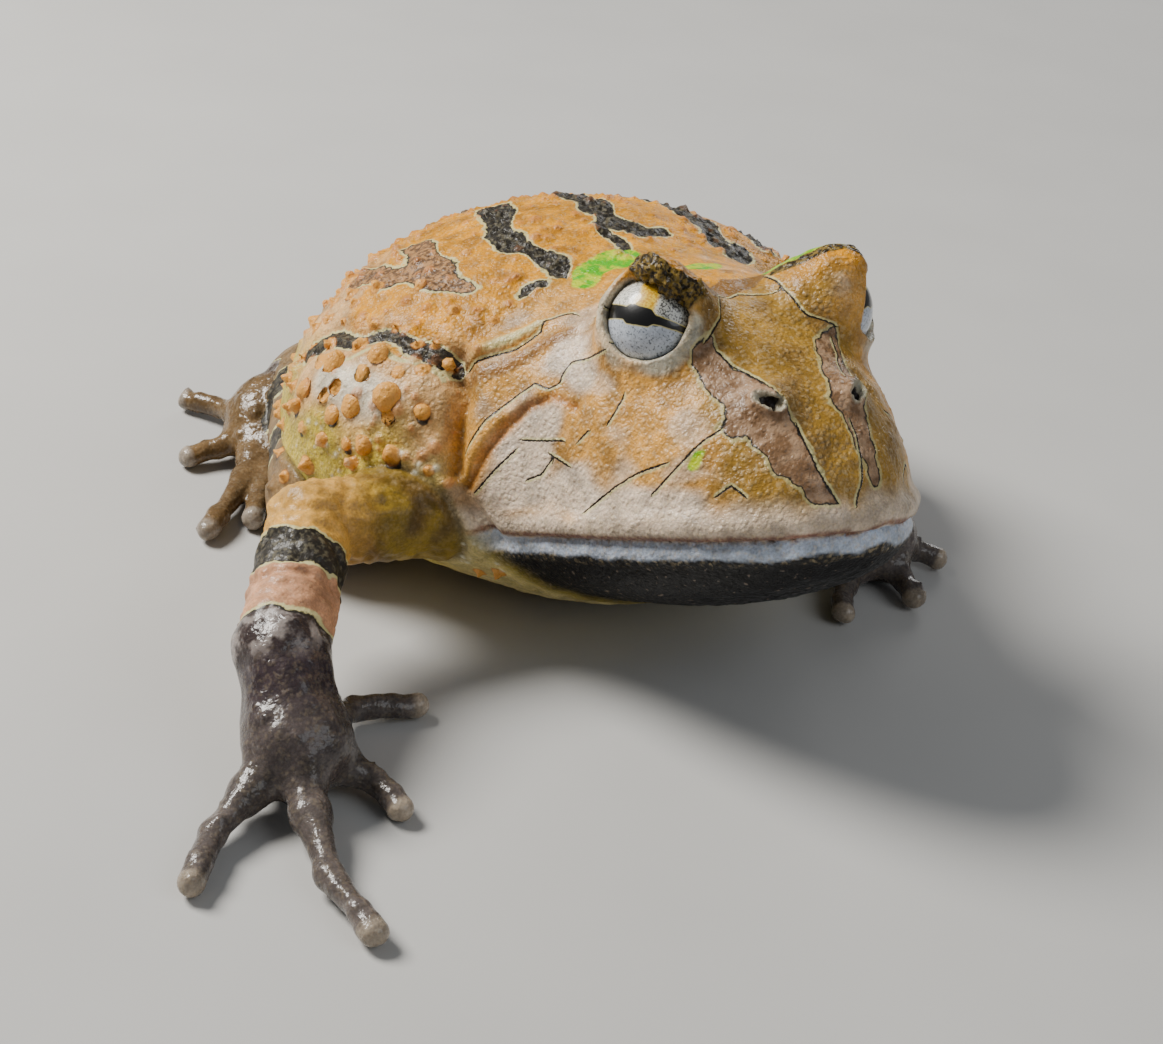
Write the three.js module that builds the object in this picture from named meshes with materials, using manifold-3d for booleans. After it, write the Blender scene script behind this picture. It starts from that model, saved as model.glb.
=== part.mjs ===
// A horned frog sitting with its head raised and turned a little to its right.
// Millimetres. x runs to the frog's left, y to its rear from the snout, z up from the floor.
import * as THREE from "three";
import { mergeVertices } from "three/addons/utils/BufferGeometryUtils.js";
import Module from "manifold-3d";

// Driving dimensions
const GAP = 0.3; // between touching parts
const LIP_WIDTH = 25.4; // half width of the mouth at its corners
const LIP_DEPTH = 38; // from the tip of the snout back to the corners
const LIP_POWER = 2.45; // how blunt the mouth's outline is, seen from above
const FACE_SILL = 4; // the face stands upright to this height over the lip
const FACE_RISE = 3.51; // and from there leans back to the crown, less steeply for a smaller value
const FACE_POWER = 1.6; // how fast that lean sets in
const UPPER_LIP = { inset: 0.9, height: 1.5, radius: 1.5 };
const LOWER_LIP = { inset: 1.9, height: -1.5, radius: 1.3 };
const CROWN = { at: [0, 31, -3], size: [27.8, 36, 31.5] };
const CHIN = { at: [0, 30, 2], size: [26.3, 34, 12] };
const CHIN_INSET = 0.8; // the lower jaw stands back under the upper lip
const CHIN_RISE = 5.5; // how steeply the chin curves under, steeper for a larger value
const EYE_RADIUS = 5.3;
const TRUNK_WIDTH = 77; // over the flanks
const TRUNK_HEIGHT = 42; // of the back over the floor
const DIGIT_RADIUS = 1.65;
const HEAD_CELL = 2.5; // spacing of the surface points of the head
const JAW_CELL = 3.1;
const TRUNK_CELL = 4.0;
const HORN_CELL = 1.25;

// How softly neighbouring forms of the head run into each other
const BLEND = { face: 5, upperLip: 1.5, orbit: 3.5, nostril: 2.5, chin: 4, lowerLip: 1.2 };

// Boxes that hold each surface with room to spare
const HEAD_BOX = { low: [-38, -6, 0], high: [36, 58, 62] };
const JAW_BOX = { low: [-38, -6, -6], high: [36, 52, 40] };
const HORN_BOX = { low: [-30, -4, 30], high: [30, 40, 64] };
const BODY_BOX = { low: [-46, -6, -6], high: [46, 100, 62] };

// Where the head sits
const SNOUT = new THREE.Vector3(-4.1, 0, 30.6); // tip of the upper lip
const HEAD_YAW = THREE.MathUtils.degToRad(-6.1);
const HEAD_PITCH = THREE.MathUtils.degToRad(24.9);
const HEAD_ROLL = THREE.MathUtils.degToRad(2);
const NECK = 37; // the neck cut, behind the snout in the head's own frame

// Trunk: lobes as centre and radii
const TRUNK = [
  { at: [0, 59, 18], size: [TRUNK_WIDTH / 2, 30, 19.5] },
  { at: [0, 57, 25], size: [30, 27, TRUNK_HEIGHT - 25] },
  { at: [0, 78, 14], size: [23, 14, 14] },
  { at: [-1, 40, 19], size: [24, 17, 17] },
];
const TRUNK_BLEND = 8;
const NECK_BLEND = { throat: 2.5, crown: 7.5, from: 26, to: 40 }; // sharp under the cheek, soft over the nape

// Eyes and horns in the head's own frame, for the left side
const EYE = [11, 19.4, 22.7];
const GAZE = new THREE.Vector3(0.66, -0.7, 0.28).normalize();
const ORBIT_RADIUS = 6.3;
const ORBIT_SINK = 1.1; // the orbit's centre lies this far behind the eye's
const ORBIT = {
  at: EYE.map((v, i) => v - ORBIT_SINK * GAZE.getComponent(i)),
  size: [ORBIT_RADIUS, ORBIT_RADIUS, ORBIT_RADIUS],
};
const HORN_ROOT = { at: [10.4, 20, 23], radius: 5.6 };
const HORN_TIP = { at: [11.4, 16.9, 26.9], radius: 3.1 };
const NOSTRIL = { at: [4.4, 7.6, 13.6], size: [2.4, 2.6, 2] };
const NOSTRIL_HOLE = { at: [4.8, 5.6, 14.2], radius: 0.8 };

// Limbs: the joints of each as x, y, z and the radius of the flesh there, and the tips of the digits as x, y
// and how far the digit bows aside on its way there
const ARM = {
  right: {
    shoulder: [-20, 43, 15, 5.8],
    elbow: [-44.5, 43.5, 17.5, 4.8],
    wrist: [-54.5, 29.5, 12, 5.1],
    palm: [-56.4, 21.5, 6.6, 5],
    tips: [
      [-39, 27, 3.6],
      [-49, 11.5, 2.2],
      [-60.5, -4.5, -1.6],
      [-73, 10, -1.8],
    ],
  },
  left: {
    shoulder: [18, 45, 14, 5.8],
    elbow: [38.5, 53, 14, 4.8],
    wrist: [33, 37, 8.4, 4.8],
    palm: [30, 31.5, 5.6, 4.6],
    tips: [
      [20, 33.5, -1],
      [18.5, 22.5, -1],
      [29, 21.5, 0.6],
      [38.5, 28, 1],
    ],
  },
};
const LEG = {
  right: {
    hip: [-14, 74, 13, 11],
    knee: [-33, 61, 9, 7.8],
    ankle: [-21, 93, 8, 5],
    sole: [-28, 91, 5.2, 4.4],
    tips: [
      [-32.5, 78.5, 0.5],
      [-38.5, 72, 0.8],
      [-45, 71.5, 1],
      [-39.5, 90, 0.6],
      [-33.5, 105, -0.8],
    ],
  },
  left: {
    hip: [14, 76, 13, 11],
    knee: [36, 69, 10, 7.8],
    ankle: [20, 95, 8, 5],
    sole: [27, 94, 5.2, 4.4],
    tips: [
      [33.5, 82.5, -0.5],
      [40, 79.5, -0.8],
      [48, 84, -1],
      [45, 94, -0.6],
      [35, 104, 0.8],
    ],
  },
};

// Warts: conical tubercles on the flanks and low ones on the back and the cheeks, as how many there are, the
// range of their radii and how high they stand, in radii
const FLANK_WARTS = { eachSide: 20, size: [0.8, 1.4], rise: 1.1 };
const BACK_WARTS = { count: 24, size: [0.7, 1.2], rise: 0.6 };
const CHEEK_WARTS = { count: 10, size: [0.5, 0.8], rise: 0.7 };
const WART_SIDES = 5;
const TRUNK_CORE = [0, 60, 20]; // rays from here find the places of the warts on the trunk
const HEAD_CORE = [0, 27, 24];
const WART_CLEARANCE = 2.2; // between a wart's foot and the nearest limb

const wasm = await Module();
wasm.setup();

// Distance fields

const headTurn = new THREE.Matrix4()
  .makeRotationZ(HEAD_YAW)
  .multiply(new THREE.Matrix4().makeRotationX(-HEAD_PITCH))
  .multiply(new THREE.Matrix4().makeRotationY(HEAD_ROLL))
  .setPosition(SNOUT);
const intoHead = headTurn.clone().invert();

const softMin = (a, b, k) => {
  const h = Math.max(k - Math.abs(a - b), 0) / k;
  return Math.min(a, b) - (h * h * k) / 4;
};
const softMax = (a, b, k) => -softMin(-a, -b, k);

const ellipsoid = (x, y, z, at, size) => {
  const [u, v, w] = [(x - at[0]) / size[0], (y - at[1]) / size[1], (z - at[2]) / size[2]];
  const near = Math.hypot(u, v, w);
  const slope = Math.hypot(u / size[0], v / size[1], w / size[2]);
  return (near * (near - 1)) / Math.max(slope, 1e-9);
};

// A round cone from one ball to another.
const roundCone = (x, y, z, a, b, ra, rb) => {
  const axis = [b[0] - a[0], b[1] - a[1], b[2] - a[2]];
  const from = [x - a[0], y - a[1], z - a[2]];
  const length = Math.hypot(...axis);
  const along = (from[0] * axis[0] + from[1] * axis[1] + from[2] * axis[2]) / length;
  const across = Math.sqrt(Math.max(Math.hypot(...from) ** 2 - along * along, 0));
  const lean = (ra - rb) / length;
  const slant = Math.sqrt(1 - lean * lean);
  const foot = along * slant + across * lean * -1;
  if (foot < 0) return Math.hypot(across, along) - ra;
  if (foot > length * slant) return Math.hypot(across, along - length) - rb;
  return across * slant + along * lean - ra;
};

// Distance outside the mouth's outline, seen from above: its half width grows as a root of the depth.
const outline = (x, y, inset) => {
  const depth = LIP_DEPTH - inset;
  const width = LIP_WIDTH - inset;
  const side = Math.abs(x) / width;
  const past = depth * side ** LIP_POWER - (y - inset);
  return { past, lean: ((depth * LIP_POWER) / width) * side ** (LIP_POWER - 1) };
};

// A rolled lip along the outline, at a height over or under the mouth.
const lip = (x, y, z, { inset, height, radius }) => {
  const { past, lean } = outline(x, y, inset);
  return Math.hypot(past / Math.hypot(1, lean), z - height, Math.max(y - LIP_DEPTH, 0)) - radius;
};

const upperHead = (x, y, z) => {
  const { past, lean } = outline(x, y, 0);
  const rise = Math.max(z - FACE_SILL, 0) / FACE_RISE;
  const slope = (FACE_POWER / FACE_RISE) * rise ** (FACE_POWER - 1);
  const face = (past + rise ** FACE_POWER) / Math.hypot(1, lean, slope);
  let d = softMax(face, ellipsoid(x, y, z, CROWN.at, CROWN.size), BLEND.face);
  d = softMin(d, lip(x, y, z, UPPER_LIP), BLEND.upperLip);
  for (const side of [-1, 1]) {
    d = softMin(d, ellipsoid(side * x, y, z, ORBIT.at, ORBIT.size), BLEND.orbit);
    d = softMin(d, ellipsoid(side * x, y, z, NOSTRIL.at, NOSTRIL.size), BLEND.nostril);
  }
  return d;
};

const lowerHead = (x, y, z) => {
  const { past, lean } = outline(x, y, CHIN_INSET);
  const drop = Math.min(z + 2, 0);
  const jaw = (past + (drop * drop) / CHIN_RISE) / Math.hypot(1, lean, (2 * drop) / CHIN_RISE);
  const d = softMax(jaw, ellipsoid(x, y, z, CHIN.at, CHIN.size), BLEND.chin);
  return softMin(d, lip(x, y, z, LOWER_LIP), BLEND.lowerLip);
};

const trunk = (x, y, z) =>
  TRUNK.map((lobe) => ellipsoid(x, y, z, lobe.at, lobe.size)).reduce((a, b) => softMin(a, b, TRUNK_BLEND));

const neckBlend = (z) =>
  THREE.MathUtils.mapLinear(
    THREE.MathUtils.clamp(z, NECK_BLEND.from, NECK_BLEND.to),
    NECK_BLEND.from,
    NECK_BLEND.to,
    NECK_BLEND.throat,
    NECK_BLEND.crown,
  );

const inHead = new THREE.Vector3();

// The fields take a point in the body's frame. Each reaches a little past the planes that part its node off.
const SPARE = 3; // how far past
const headField = (x, y, z) => {
  inHead.set(x, y, z).applyMatrix4(intoHead);
  const d = softMin(upperHead(inHead.x, inHead.y, inHead.z), trunk(x, y, z), neckBlend(z));
  return Math.max(d, inHead.y - NECK - SPARE, -SPARE - inHead.z);
};
const jawField = (x, y, z) => {
  inHead.set(x, y, z).applyMatrix4(intoHead);
  const d = softMin(lowerHead(inHead.x, inHead.y, inHead.z), trunk(x, y, z), neckBlend(z));
  return Math.max(d, inHead.y - NECK - SPARE, inHead.z - SPARE);
};
const wholeField = (x, y, z) => {
  inHead.set(x, y, z).applyMatrix4(intoHead);
  const upper = Math.max(upperHead(inHead.x, inHead.y, inHead.z), -inHead.z);
  const lower = Math.max(lowerHead(inHead.x, inHead.y, inHead.z), inHead.z);
  return softMin(Math.min(upper, lower), trunk(x, y, z), neckBlend(z));
};
const torsoField = (x, y, z) => {
  const d = wholeField(x, y, z);
  return Math.max(d, NECK - SPARE - inHead.y, -SPARE - z);
};
const hornField = (side) => (x, y, z) => {
  inHead.set(x, y, z).applyMatrix4(intoHead);
  const { x: across, y: back, z: high } = inHead;
  return roundCone(side * across, back, high, HORN_ROOT.at, HORN_TIP.at, HORN_ROOT.radius, HORN_TIP.radius);
};

// The surface of a field as a closed mesh: one point in each cell that the surface crosses.
function surface(field, { low, high }, cell) {
  const count = low.map((v, i) => Math.ceil((high[i] - v) / cell) + 1);
  const [nx, ny, nz] = count;
  const index = (i, j, k) => (i * ny + j) * nz + k;
  const value = new Float64Array(nx * ny * nz);
  for (let i = 0; i < nx; i++)
    for (let j = 0; j < ny; j++)
      for (let k = 0; k < nz; k++)
        value[index(i, j, k)] = field(low[0] + i * cell, low[1] + j * cell, low[2] + k * cell);
  simplify(value, count, index);
  const points = [];
  const pointOf = new Map();
  for (let i = 0; i < nx - 1; i++)
    for (let j = 0; j < ny - 1; j++)
      for (let k = 0; k < nz - 1; k++) {
        const found = crossing(value, index, i, j, k);
        if (!found) continue;
        pointOf.set(index(i, j, k), points.length);
        points.push(settle(field, found.map((v, n) => low[n] + v * cell), cell));
      }
  const faces = [];
  const step = [
    [1, 0, 0],
    [0, 1, 0],
    [0, 0, 1],
  ];
  for (let i = 0; i < nx - 1; i++)
    for (let j = 0; j < ny - 1; j++)
      for (let k = 0; k < nz - 1; k++)
        for (let axis = 0; axis < 3; axis++) {
          const place = [i, j, k];
          if (!place[(axis + 1) % 3] || !place[(axis + 2) % 3]) continue;
          const [a, b, c] = step[axis];
          const inside = value[index(i, j, k)] < 0;
          if (inside === value[index(i + a, j + b, k + c)] < 0) continue;
          const [u, v] = [step[(axis + 1) % 3], step[(axis + 2) % 3]];
          const at = (s, t) =>
            pointOf.get(index(i - s * u[0] - t * v[0], j - s * u[1] - t * v[1], k - s * u[2] - t * v[2]));
          const ring = [at(1, 1), at(0, 1), at(0, 0), at(1, 0)];
          if (!inside) ring.reverse();
          faces.push(ring[0], ring[1], ring[2], ring[0], ring[2], ring[3]);
        }
  const geometry = new THREE.BufferGeometry();
  geometry.setAttribute("position", new THREE.Float32BufferAttribute(points.flat(), 3));
  geometry.setIndex(faces);
  return geometry;
}

// Whether the corners of a cell that are set in a pattern hang together along its edges.
function connected(pattern) {
  if (!pattern) return true;
  let reached = pattern & -pattern;
  for (let pass = 0; pass < 7; pass++)
    for (let corner = 0; corner < 8; corner++)
      if (reached & (1 << corner))
        for (const bit of [1, 2, 4]) reached |= pattern & (1 << (corner ^ bit));
  return reached === pattern;
}
const SPLIT = Array.from({ length: 256 }, (_, pattern) => !connected(pattern) || !connected(255 - pattern));

// Fills single corners until no cell is crossed by two sheets, so that the surface is closed and simple.
function simplify(value, count, index) {
  const [nx, ny, nz] = count;
  let changed = true;
  while (changed) {
    changed = false;
    for (let i = 0; i < nx - 1; i++)
      for (let j = 0; j < ny - 1; j++)
        for (let k = 0; k < nz - 1; k++) {
          let pattern = 0;
          let nearest = -1;
          for (let corner = 0; corner < 8; corner++) {
            const at = index(i + (corner & 1), j + ((corner >> 1) & 1), k + (corner >> 2));
            if (value[at] < 0) pattern |= 1 << corner;
            else if (nearest < 0 || value[at] < value[nearest]) nearest = at;
          }
          if (!SPLIT[pattern]) continue;
          value[nearest] = -1e-3;
          changed = true;
        }
  }
}

// The middle of the places where a field changes sign along one cell's edges, in cells.
function crossing(value, index, i, j, k) {
  const sum = [0, 0, 0];
  let hits = 0;
  for (let axis = 0; axis < 3; axis++)
    for (let s = 0; s < 2; s++)
      for (let t = 0; t < 2; t++) {
        const start = [i, j, k];
        start[(axis + 1) % 3] += s;
        start[(axis + 2) % 3] += t;
        const end = [...start];
        end[axis] += 1;
        const [a, b] = [value[index(...start)], value[index(...end)]];
        if (a < 0 === b < 0) continue;
        start[axis] += a / (a - b);
        start.forEach((v, n) => (sum[n] += v));
        hits++;
      }
  return hits ? sum.map((v) => v / hits) : null;
}

// Moves a point onto the surface along the field's slope.
function settle(field, point, cell) {
  const h = 0.05;
  let p = point;
  for (let pass = 0; pass < 2; pass++) {
    const here = field(...p);
    const slope = [0, 1, 2].map((n) => {
      const q = [...p];
      q[n] += h;
      return (field(...q) - here) / h;
    });
    const steep = Math.max(slope.reduce((sum, v) => sum + v * v, 0), 0.2);
    const reach = Math.min(1, (0.45 * cell * Math.sqrt(steep)) / Math.max(Math.abs(here), 1e-9));
    p = p.map((v, n) => v - (slope[n] * here * reach) / steep);
  }
  return p;
}

// Joining and cutting

function solid(geometry) {
  const plain = geometry.clone();
  plain.deleteAttribute("normal");
  plain.deleteAttribute("uv");
  const merged = mergeVertices(plain, 1e-4);
  return new wasm.Manifold(
    new wasm.Mesh({
      numProp: 3,
      vertProperties: merged.attributes.position.array,
      triVerts: new Uint32Array(merged.index.array),
    }),
  );
}

function largest(body) {
  return body.decompose().reduce((best, piece) => (piece.volume() > best.volume() ? piece : best));
}

function geometryOf(body) {
  const mesh = body.getMesh();
  const position = new Float32Array(mesh.numVert * 3);
  for (let i = 0; i < mesh.numVert; i++)
    position.set(mesh.vertProperties.subarray(i * mesh.numProp, i * mesh.numProp + 3), i * 3);
  const geometry = new THREE.BufferGeometry();
  geometry.setAttribute("position", new THREE.BufferAttribute(position, 3));
  geometry.setIndex(new THREE.BufferAttribute(mesh.triVerts, 1));
  geometry.computeVertexNormals();
  return geometry;
}

// A limb: rings round a smooth path through joints of x, y, z and radius, closed by round ends.
function limb(joints, sides, rings, extra = 0, flat = 1) {
  const path = new THREE.CatmullRomCurve3(
    joints.map((j) => new THREE.Vector3(j[0], j[1], j[2])),
    false,
    "centripetal",
  );
  const radiusAt = (t) => {
    const place = t * (joints.length - 1);
    const i = Math.min(Math.floor(place), joints.length - 2);
    return THREE.MathUtils.lerp(joints[i][3], joints[i + 1][3], place - i) + extra;
  };
  const stations = [];
  const [first, last] = [radiusAt(0), radiusAt(1)];
  for (const angle of [60, 25]) stations.push([0, first, -angle]);
  for (let i = 0; i <= rings; i++) stations.push([i / rings, radiusAt(i / rings), 0]);
  for (const angle of [25, 60]) stations.push([1, last, angle]);
  const points = [];
  const centre = new THREE.Vector3();
  const up = new THREE.Vector3(0, 0, 1);
  const ends = [];
  stations.forEach(([t, radius, angle]) => {
    const along = path.getTangent(t).normalize();
    const across = new THREE.Vector3().crossVectors(along, up).normalize();
    const over = new THREE.Vector3().crossVectors(across, along);
    const turn = THREE.MathUtils.degToRad(angle);
    path.getPoint(t, centre).addScaledVector(along, radius * Math.sin(turn));
    for (let s = 0; s < sides; s++) {
      const phase = (2 * Math.PI * s) / sides;
      const wide = radius * Math.cos(turn);
      const p = centre.clone();
      p.addScaledVector(across, wide * Math.cos(phase));
      p.addScaledVector(over, wide * flat * Math.sin(phase));
      points.push(p.x, p.y, p.z);
    }
  });
  for (const t of [0, 1]) {
    const along = path.getTangent(t).normalize();
    const end = path.getPoint(t).addScaledVector(along, t ? last : -first);
    ends.push(points.length / 3);
    points.push(end.x, end.y, end.z);
  }
  const faces = [];
  const ringCount = stations.length;
  for (let s = 0; s < sides; s++) {
    const next = (s + 1) % sides;
    for (let r = 0; r < ringCount - 1; r++) {
      const [a, b] = [r * sides + s, r * sides + next];
      const [c, d] = [a + sides, b + sides];
      faces.push(a, c, b, b, c, d);
    }
    faces.push(ends[0], s, next);
    faces.push(ends[1], (ringCount - 1) * sides + next, (ringCount - 1) * sides + s);
  }
  const geometry = new THREE.BufferGeometry();
  geometry.setAttribute("position", new THREE.Float32BufferAttribute(points, 3));
  geometry.setIndex(faces);
  const made = solid(geometry);
  return made.volume() < 0 ? solid(flipped(geometry)) : made;
}

function flipped(geometry) {
  const turned = geometry.clone();
  const order = [...geometry.index.array];
  for (let i = 0; i < order.length; i += 3) [order[i + 1], order[i + 2]] = [order[i + 2], order[i + 1]];
  turned.setIndex(order);
  return turned;
}

// Blocks that part the body by planes: under the floor, and before, behind, above and below planes of the head.
const BLOCK = 200; // larger than the frog
const HALF = BLOCK / 2;
const blockAt = (x, y, z) => new THREE.BoxGeometry(BLOCK, BLOCK, BLOCK).translate(x, y, z);
const underFloor = solid(blockAt(0, 0, -HALF));
const aboveFloor = (body) => body.subtract(underFloor);
const headBlockAt = (x, y, z) => solid(blockAt(x, y, z).applyMatrix4(headTurn));
const behindNeck = headBlockAt(0, NECK + HALF, 0);
const beforeNeck = headBlockAt(0, NECK + GAP - HALF, 0);
const belowMouth = headBlockAt(0, 0, GAP / 2 - HALF);
const aboveMouth = headBlockAt(0, 0, HALF - GAP / 2);

// Seeded draws from 0 to 1
function draws(seed) {
  let state = seed;
  return () => {
    state = (state * 1664525 + 1013904223) % 4294967296;
    return state / 4294967296;
  };
}
const random = draws(11);
const spread = (low, high) => low + (high - low) * random();

// A wart: a blunt cone of few sides, standing on the surface where a ray from a core meets it.
function wart(field, core, toward, { size, rise }) {
  const radius = spread(...size);
  const height = radius * rise;
  const direction = new THREE.Vector3(...toward).normalize();
  const start = new THREE.Vector3(...core);
  let reach = 0;
  for (let i = 0; i < 60; i++) {
    const p = start.clone().addScaledVector(direction, reach);
    const d = field(p.x, p.y, p.z);
    if (Math.abs(d) < 0.01) break;
    reach -= d * 0.8;
  }
  const foot = start.clone().addScaledVector(direction, reach);
  const h = 0.3;
  const here = field(foot.x, foot.y, foot.z);
  const normal = new THREE.Vector3(
    field(foot.x + h, foot.y, foot.z) - here,
    field(foot.x, foot.y + h, foot.z) - here,
    field(foot.x, foot.y, foot.z + h) - here,
  ).normalize();
  const sunk = radius * 0.9;
  const profile = [
    new THREE.Vector2(0, -sunk),
    new THREE.Vector2(radius, -sunk),
    new THREE.Vector2(radius * 0.55, height * 0.75),
    new THREE.Vector2(0, height),
  ];
  const shape = new THREE.LatheGeometry(profile, WART_SIDES);
  shape.applyQuaternion(new THREE.Quaternion().setFromUnitVectors(new THREE.Vector3(0, 1, 0), normal));
  shape.translate(foot.x, foot.y, foot.z);
  const made = solid(shape);
  return { body: made.volume() < 0 ? solid(flipped(mergeVertices(shape, 1e-4))) : made, foot };
}

// The distance from a point to the flesh of the nearest limb.
const limbSegments = [];
for (const arm of Object.values(ARM))
  limbSegments.push([arm.shoulder, arm.elbow], [arm.elbow, arm.wrist], [arm.wrist, arm.palm]);
for (const leg of Object.values(LEG))
  limbSegments.push([leg.hip, leg.knee], [leg.knee, leg.ankle], [leg.ankle, leg.sole]);
const limbDistance = (p) =>
  Math.min(...limbSegments.map(([a, b]) => roundCone(p.x, p.y, p.z, a, b, a[3], b[3])));

function addWarts(body, list) {
  const clear = list.filter((w) => limbDistance(w.foot) > WART_CLEARANCE);
  return clear.reduce((whole, w) => whole.add(w.body), body);
}

// The parts

const frog = new THREE.Group();

function addNode(name, body, colour, roughness) {
  const material = new THREE.MeshStandardMaterial({ color: colour, roughness, metalness: 0 });
  const mesh = new THREE.Mesh(geometryOf(body), material);
  mesh.name = name;
  frog.add(mesh);
}

const bothSides = { left: 1, right: -1 };

// A ball in the head's frame, given for the left side
const headBall = (sign, at, radius, wide, high) =>
  solid(new THREE.SphereGeometry(radius, wide, high).translate(sign * at[0], at[1], at[2]).applyMatrix4(headTurn));

// Eyes, and the sockets that hold them
const sockets = {};
for (const [side, sign] of Object.entries(bothSides)) {
  sockets[side] = headBall(sign, EYE, EYE_RADIUS + GAP, 18, 12);
  addNode(`eye_${side}`, headBall(sign, EYE, EYE_RADIUS, 18, 12), 0xb9bcc0, 0.1);
}

// Head, with its nostrils
let head = solid(surface(headField, HEAD_BOX, HEAD_CELL));
for (const [side, sign] of Object.entries(bothSides)) {
  const hole = headBall(sign, NOSTRIL_HOLE.at, NOSTRIL_HOLE.radius, 8, 6);
  head = head.subtract(hole).subtract(sockets[side]);
}

// Horned upper eyelids
const headWithGap = solid(surface((x, y, z) => headField(x, y, z) - GAP, HEAD_BOX, HEAD_CELL));
for (const [side, sign] of Object.entries(bothSides)) {
  const horn = solid(surface(hornField(sign), HORN_BOX, HORN_CELL));
  addNode(`horn_${side}`, largest(horn.subtract(headWithGap).subtract(sockets[side])), 0xa98a3c, 0.6);
}

// Cheek warts
const cheekWarts = [];
for (let i = 0; i < CHEEK_WARTS.count; i++) {
  const sign = i % 2 ? 1 : -1;
  const toward = [sign * spread(0.7, 1), spread(0.1, 0.5), spread(0.1, 0.6)];
  cheekWarts.push(wart(headField, HEAD_CORE, toward, CHEEK_WARTS));
}
const wartyHead = addWarts(largest(head), cheekWarts);
addNode("head", largest(wartyHead.subtract(behindNeck).subtract(belowMouth)), 0xc8a878, 0.45);

// Lower jaw with the throat
const jaw = solid(surface(jawField, JAW_BOX, JAW_CELL));
addNode("lower_jaw", largest(aboveFloor(jaw.subtract(behindNeck).subtract(aboveMouth))), 0x2b2524, 0.5);

// Torso with the warts of the flanks and the back
const torso = solid(surface(torsoField, BODY_BOX, TRUNK_CELL));
const trunkWarts = [];
for (const sign of [-1, 1])
  for (let i = 0; i < FLANK_WARTS.eachSide; i++) {
    const angle = spread(-0.75, 1.1);
    const toward = [sign * Math.cos(angle), Math.sin(angle), spread(-0.3, 0.5)];
    trunkWarts.push(wart(torsoField, TRUNK_CORE, toward, FLANK_WARTS));
  }
for (let i = 0; i < BACK_WARTS.count; i++) {
  const toward = [spread(-0.8, 0.8), spread(-0.5, 1.2), 1];
  trunkWarts.push(wart(torsoField, TRUNK_CORE, toward, BACK_WARTS));
}
addNode("torso", largest(aboveFloor(addWarts(torso, trunkWarts)).subtract(beforeNeck)), 0xb9854a, 0.55);

// A digit from its palm to its tip, through a knuckle that stands aside of the straight way.
function digit(palm, [x, y, bow], extra) {
  const [across, back] = [x - palm[0], y - palm[1]];
  const aside = bow / Math.hypot(across, back);
  const root = [palm[0], palm[1], palm[2] * 0.8, DIGIT_RADIUS * 1.45];
  const knuckle = [
    palm[0] + across * 0.55 - back * aside,
    palm[1] + back * 0.55 + across * aside,
    palm[2] * 0.35 + 1.8,
    DIGIT_RADIUS,
  ];
  const end = [x, y, DIGIT_RADIUS - 0.15, DIGIT_RADIUS];
  return limb([root, knuckle, end], 7, 3, extra);
}

// A chain of limb parts, each cut clear of the body and of the parts before it.
function addChain(parts) {
  const taken = [bodyWithGap];
  for (const part of parts) {
    const body = taken.reduce((rest, block) => rest.subtract(block), part.shape(0));
    addNode(part.name, largest(aboveFloor(body)), part.colour, 0.45);
    taken.push(part.shape(GAP));
  }
}
const bodyWithGap = solid(surface((x, y, z) => wholeField(x, y, z) - GAP, BODY_BOX, TRUNK_CELL));

for (const [side, arm] of Object.entries(ARM)) {
  const { shoulder, elbow, wrist, palm } = arm;
  const parts = [
    { name: `upper_arm_${side}`, colour: 0xb8a24a, shape: (e) => limb([shoulder, elbow], 12, 3, e) },
    { name: `forearm_${side}`, colour: 0xb58a68, shape: (e) => limb([elbow, wrist], 12, 3, e) },
    { name: `hand_${side}`, colour: 0x6d5f58, shape: (e) => limb([wrist, palm], 12, 2, e, 0.8) },
  ];
  arm.tips.forEach((tip, i) => {
    parts.push({ name: `finger_${side}_${i + 1}`, colour: 0x75665c, shape: (e) => digit(palm, tip, e) });
  });
  addChain(parts);
}

for (const [side, leg] of Object.entries(LEG)) {
  const { hip, knee, ankle, sole } = leg;
  const parts = [
    { name: `thigh_${side}`, colour: 0x8c7048, shape: (e) => limb([hip, knee], 14, 3, e, 0.9) },
    { name: `shank_${side}`, colour: 0x7c6648, shape: (e) => limb([knee, ankle], 12, 4, e) },
    { name: `foot_${side}`, colour: 0x6b5a48, shape: (e) => limb([ankle, sole], 12, 2, e, 0.85) },
  ];
  leg.tips.forEach((tip, i) => {
    parts.push({ name: `toe_${side}_${i + 1}`, colour: 0x6b5a48, shape: (e) => digit(sole, tip, e) });
  });
  addChain(parts);
}

// The origin lies under the middle of the frog's box, on the floor.
const frame = new THREE.Group();
const extent = new THREE.Box3().setFromObject(frog);
frog.position.set(-(extent.min.x + extent.max.x) / 2, -(extent.min.y + extent.max.y) / 2, -extent.min.z);
frame.add(frog);

export default frame;
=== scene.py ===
"""The looks of a still, life-size horned frog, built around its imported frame.

Shapes are worked out in millimetres in the body's own frame: x to the frog's left, y to its rear
from the snout, z up from the floor. The frame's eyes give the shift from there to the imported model.
"""

import math

import bpy
import numpy as np
from mathutils import Matrix, Vector
from mathutils.kdtree import KDTree


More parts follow.
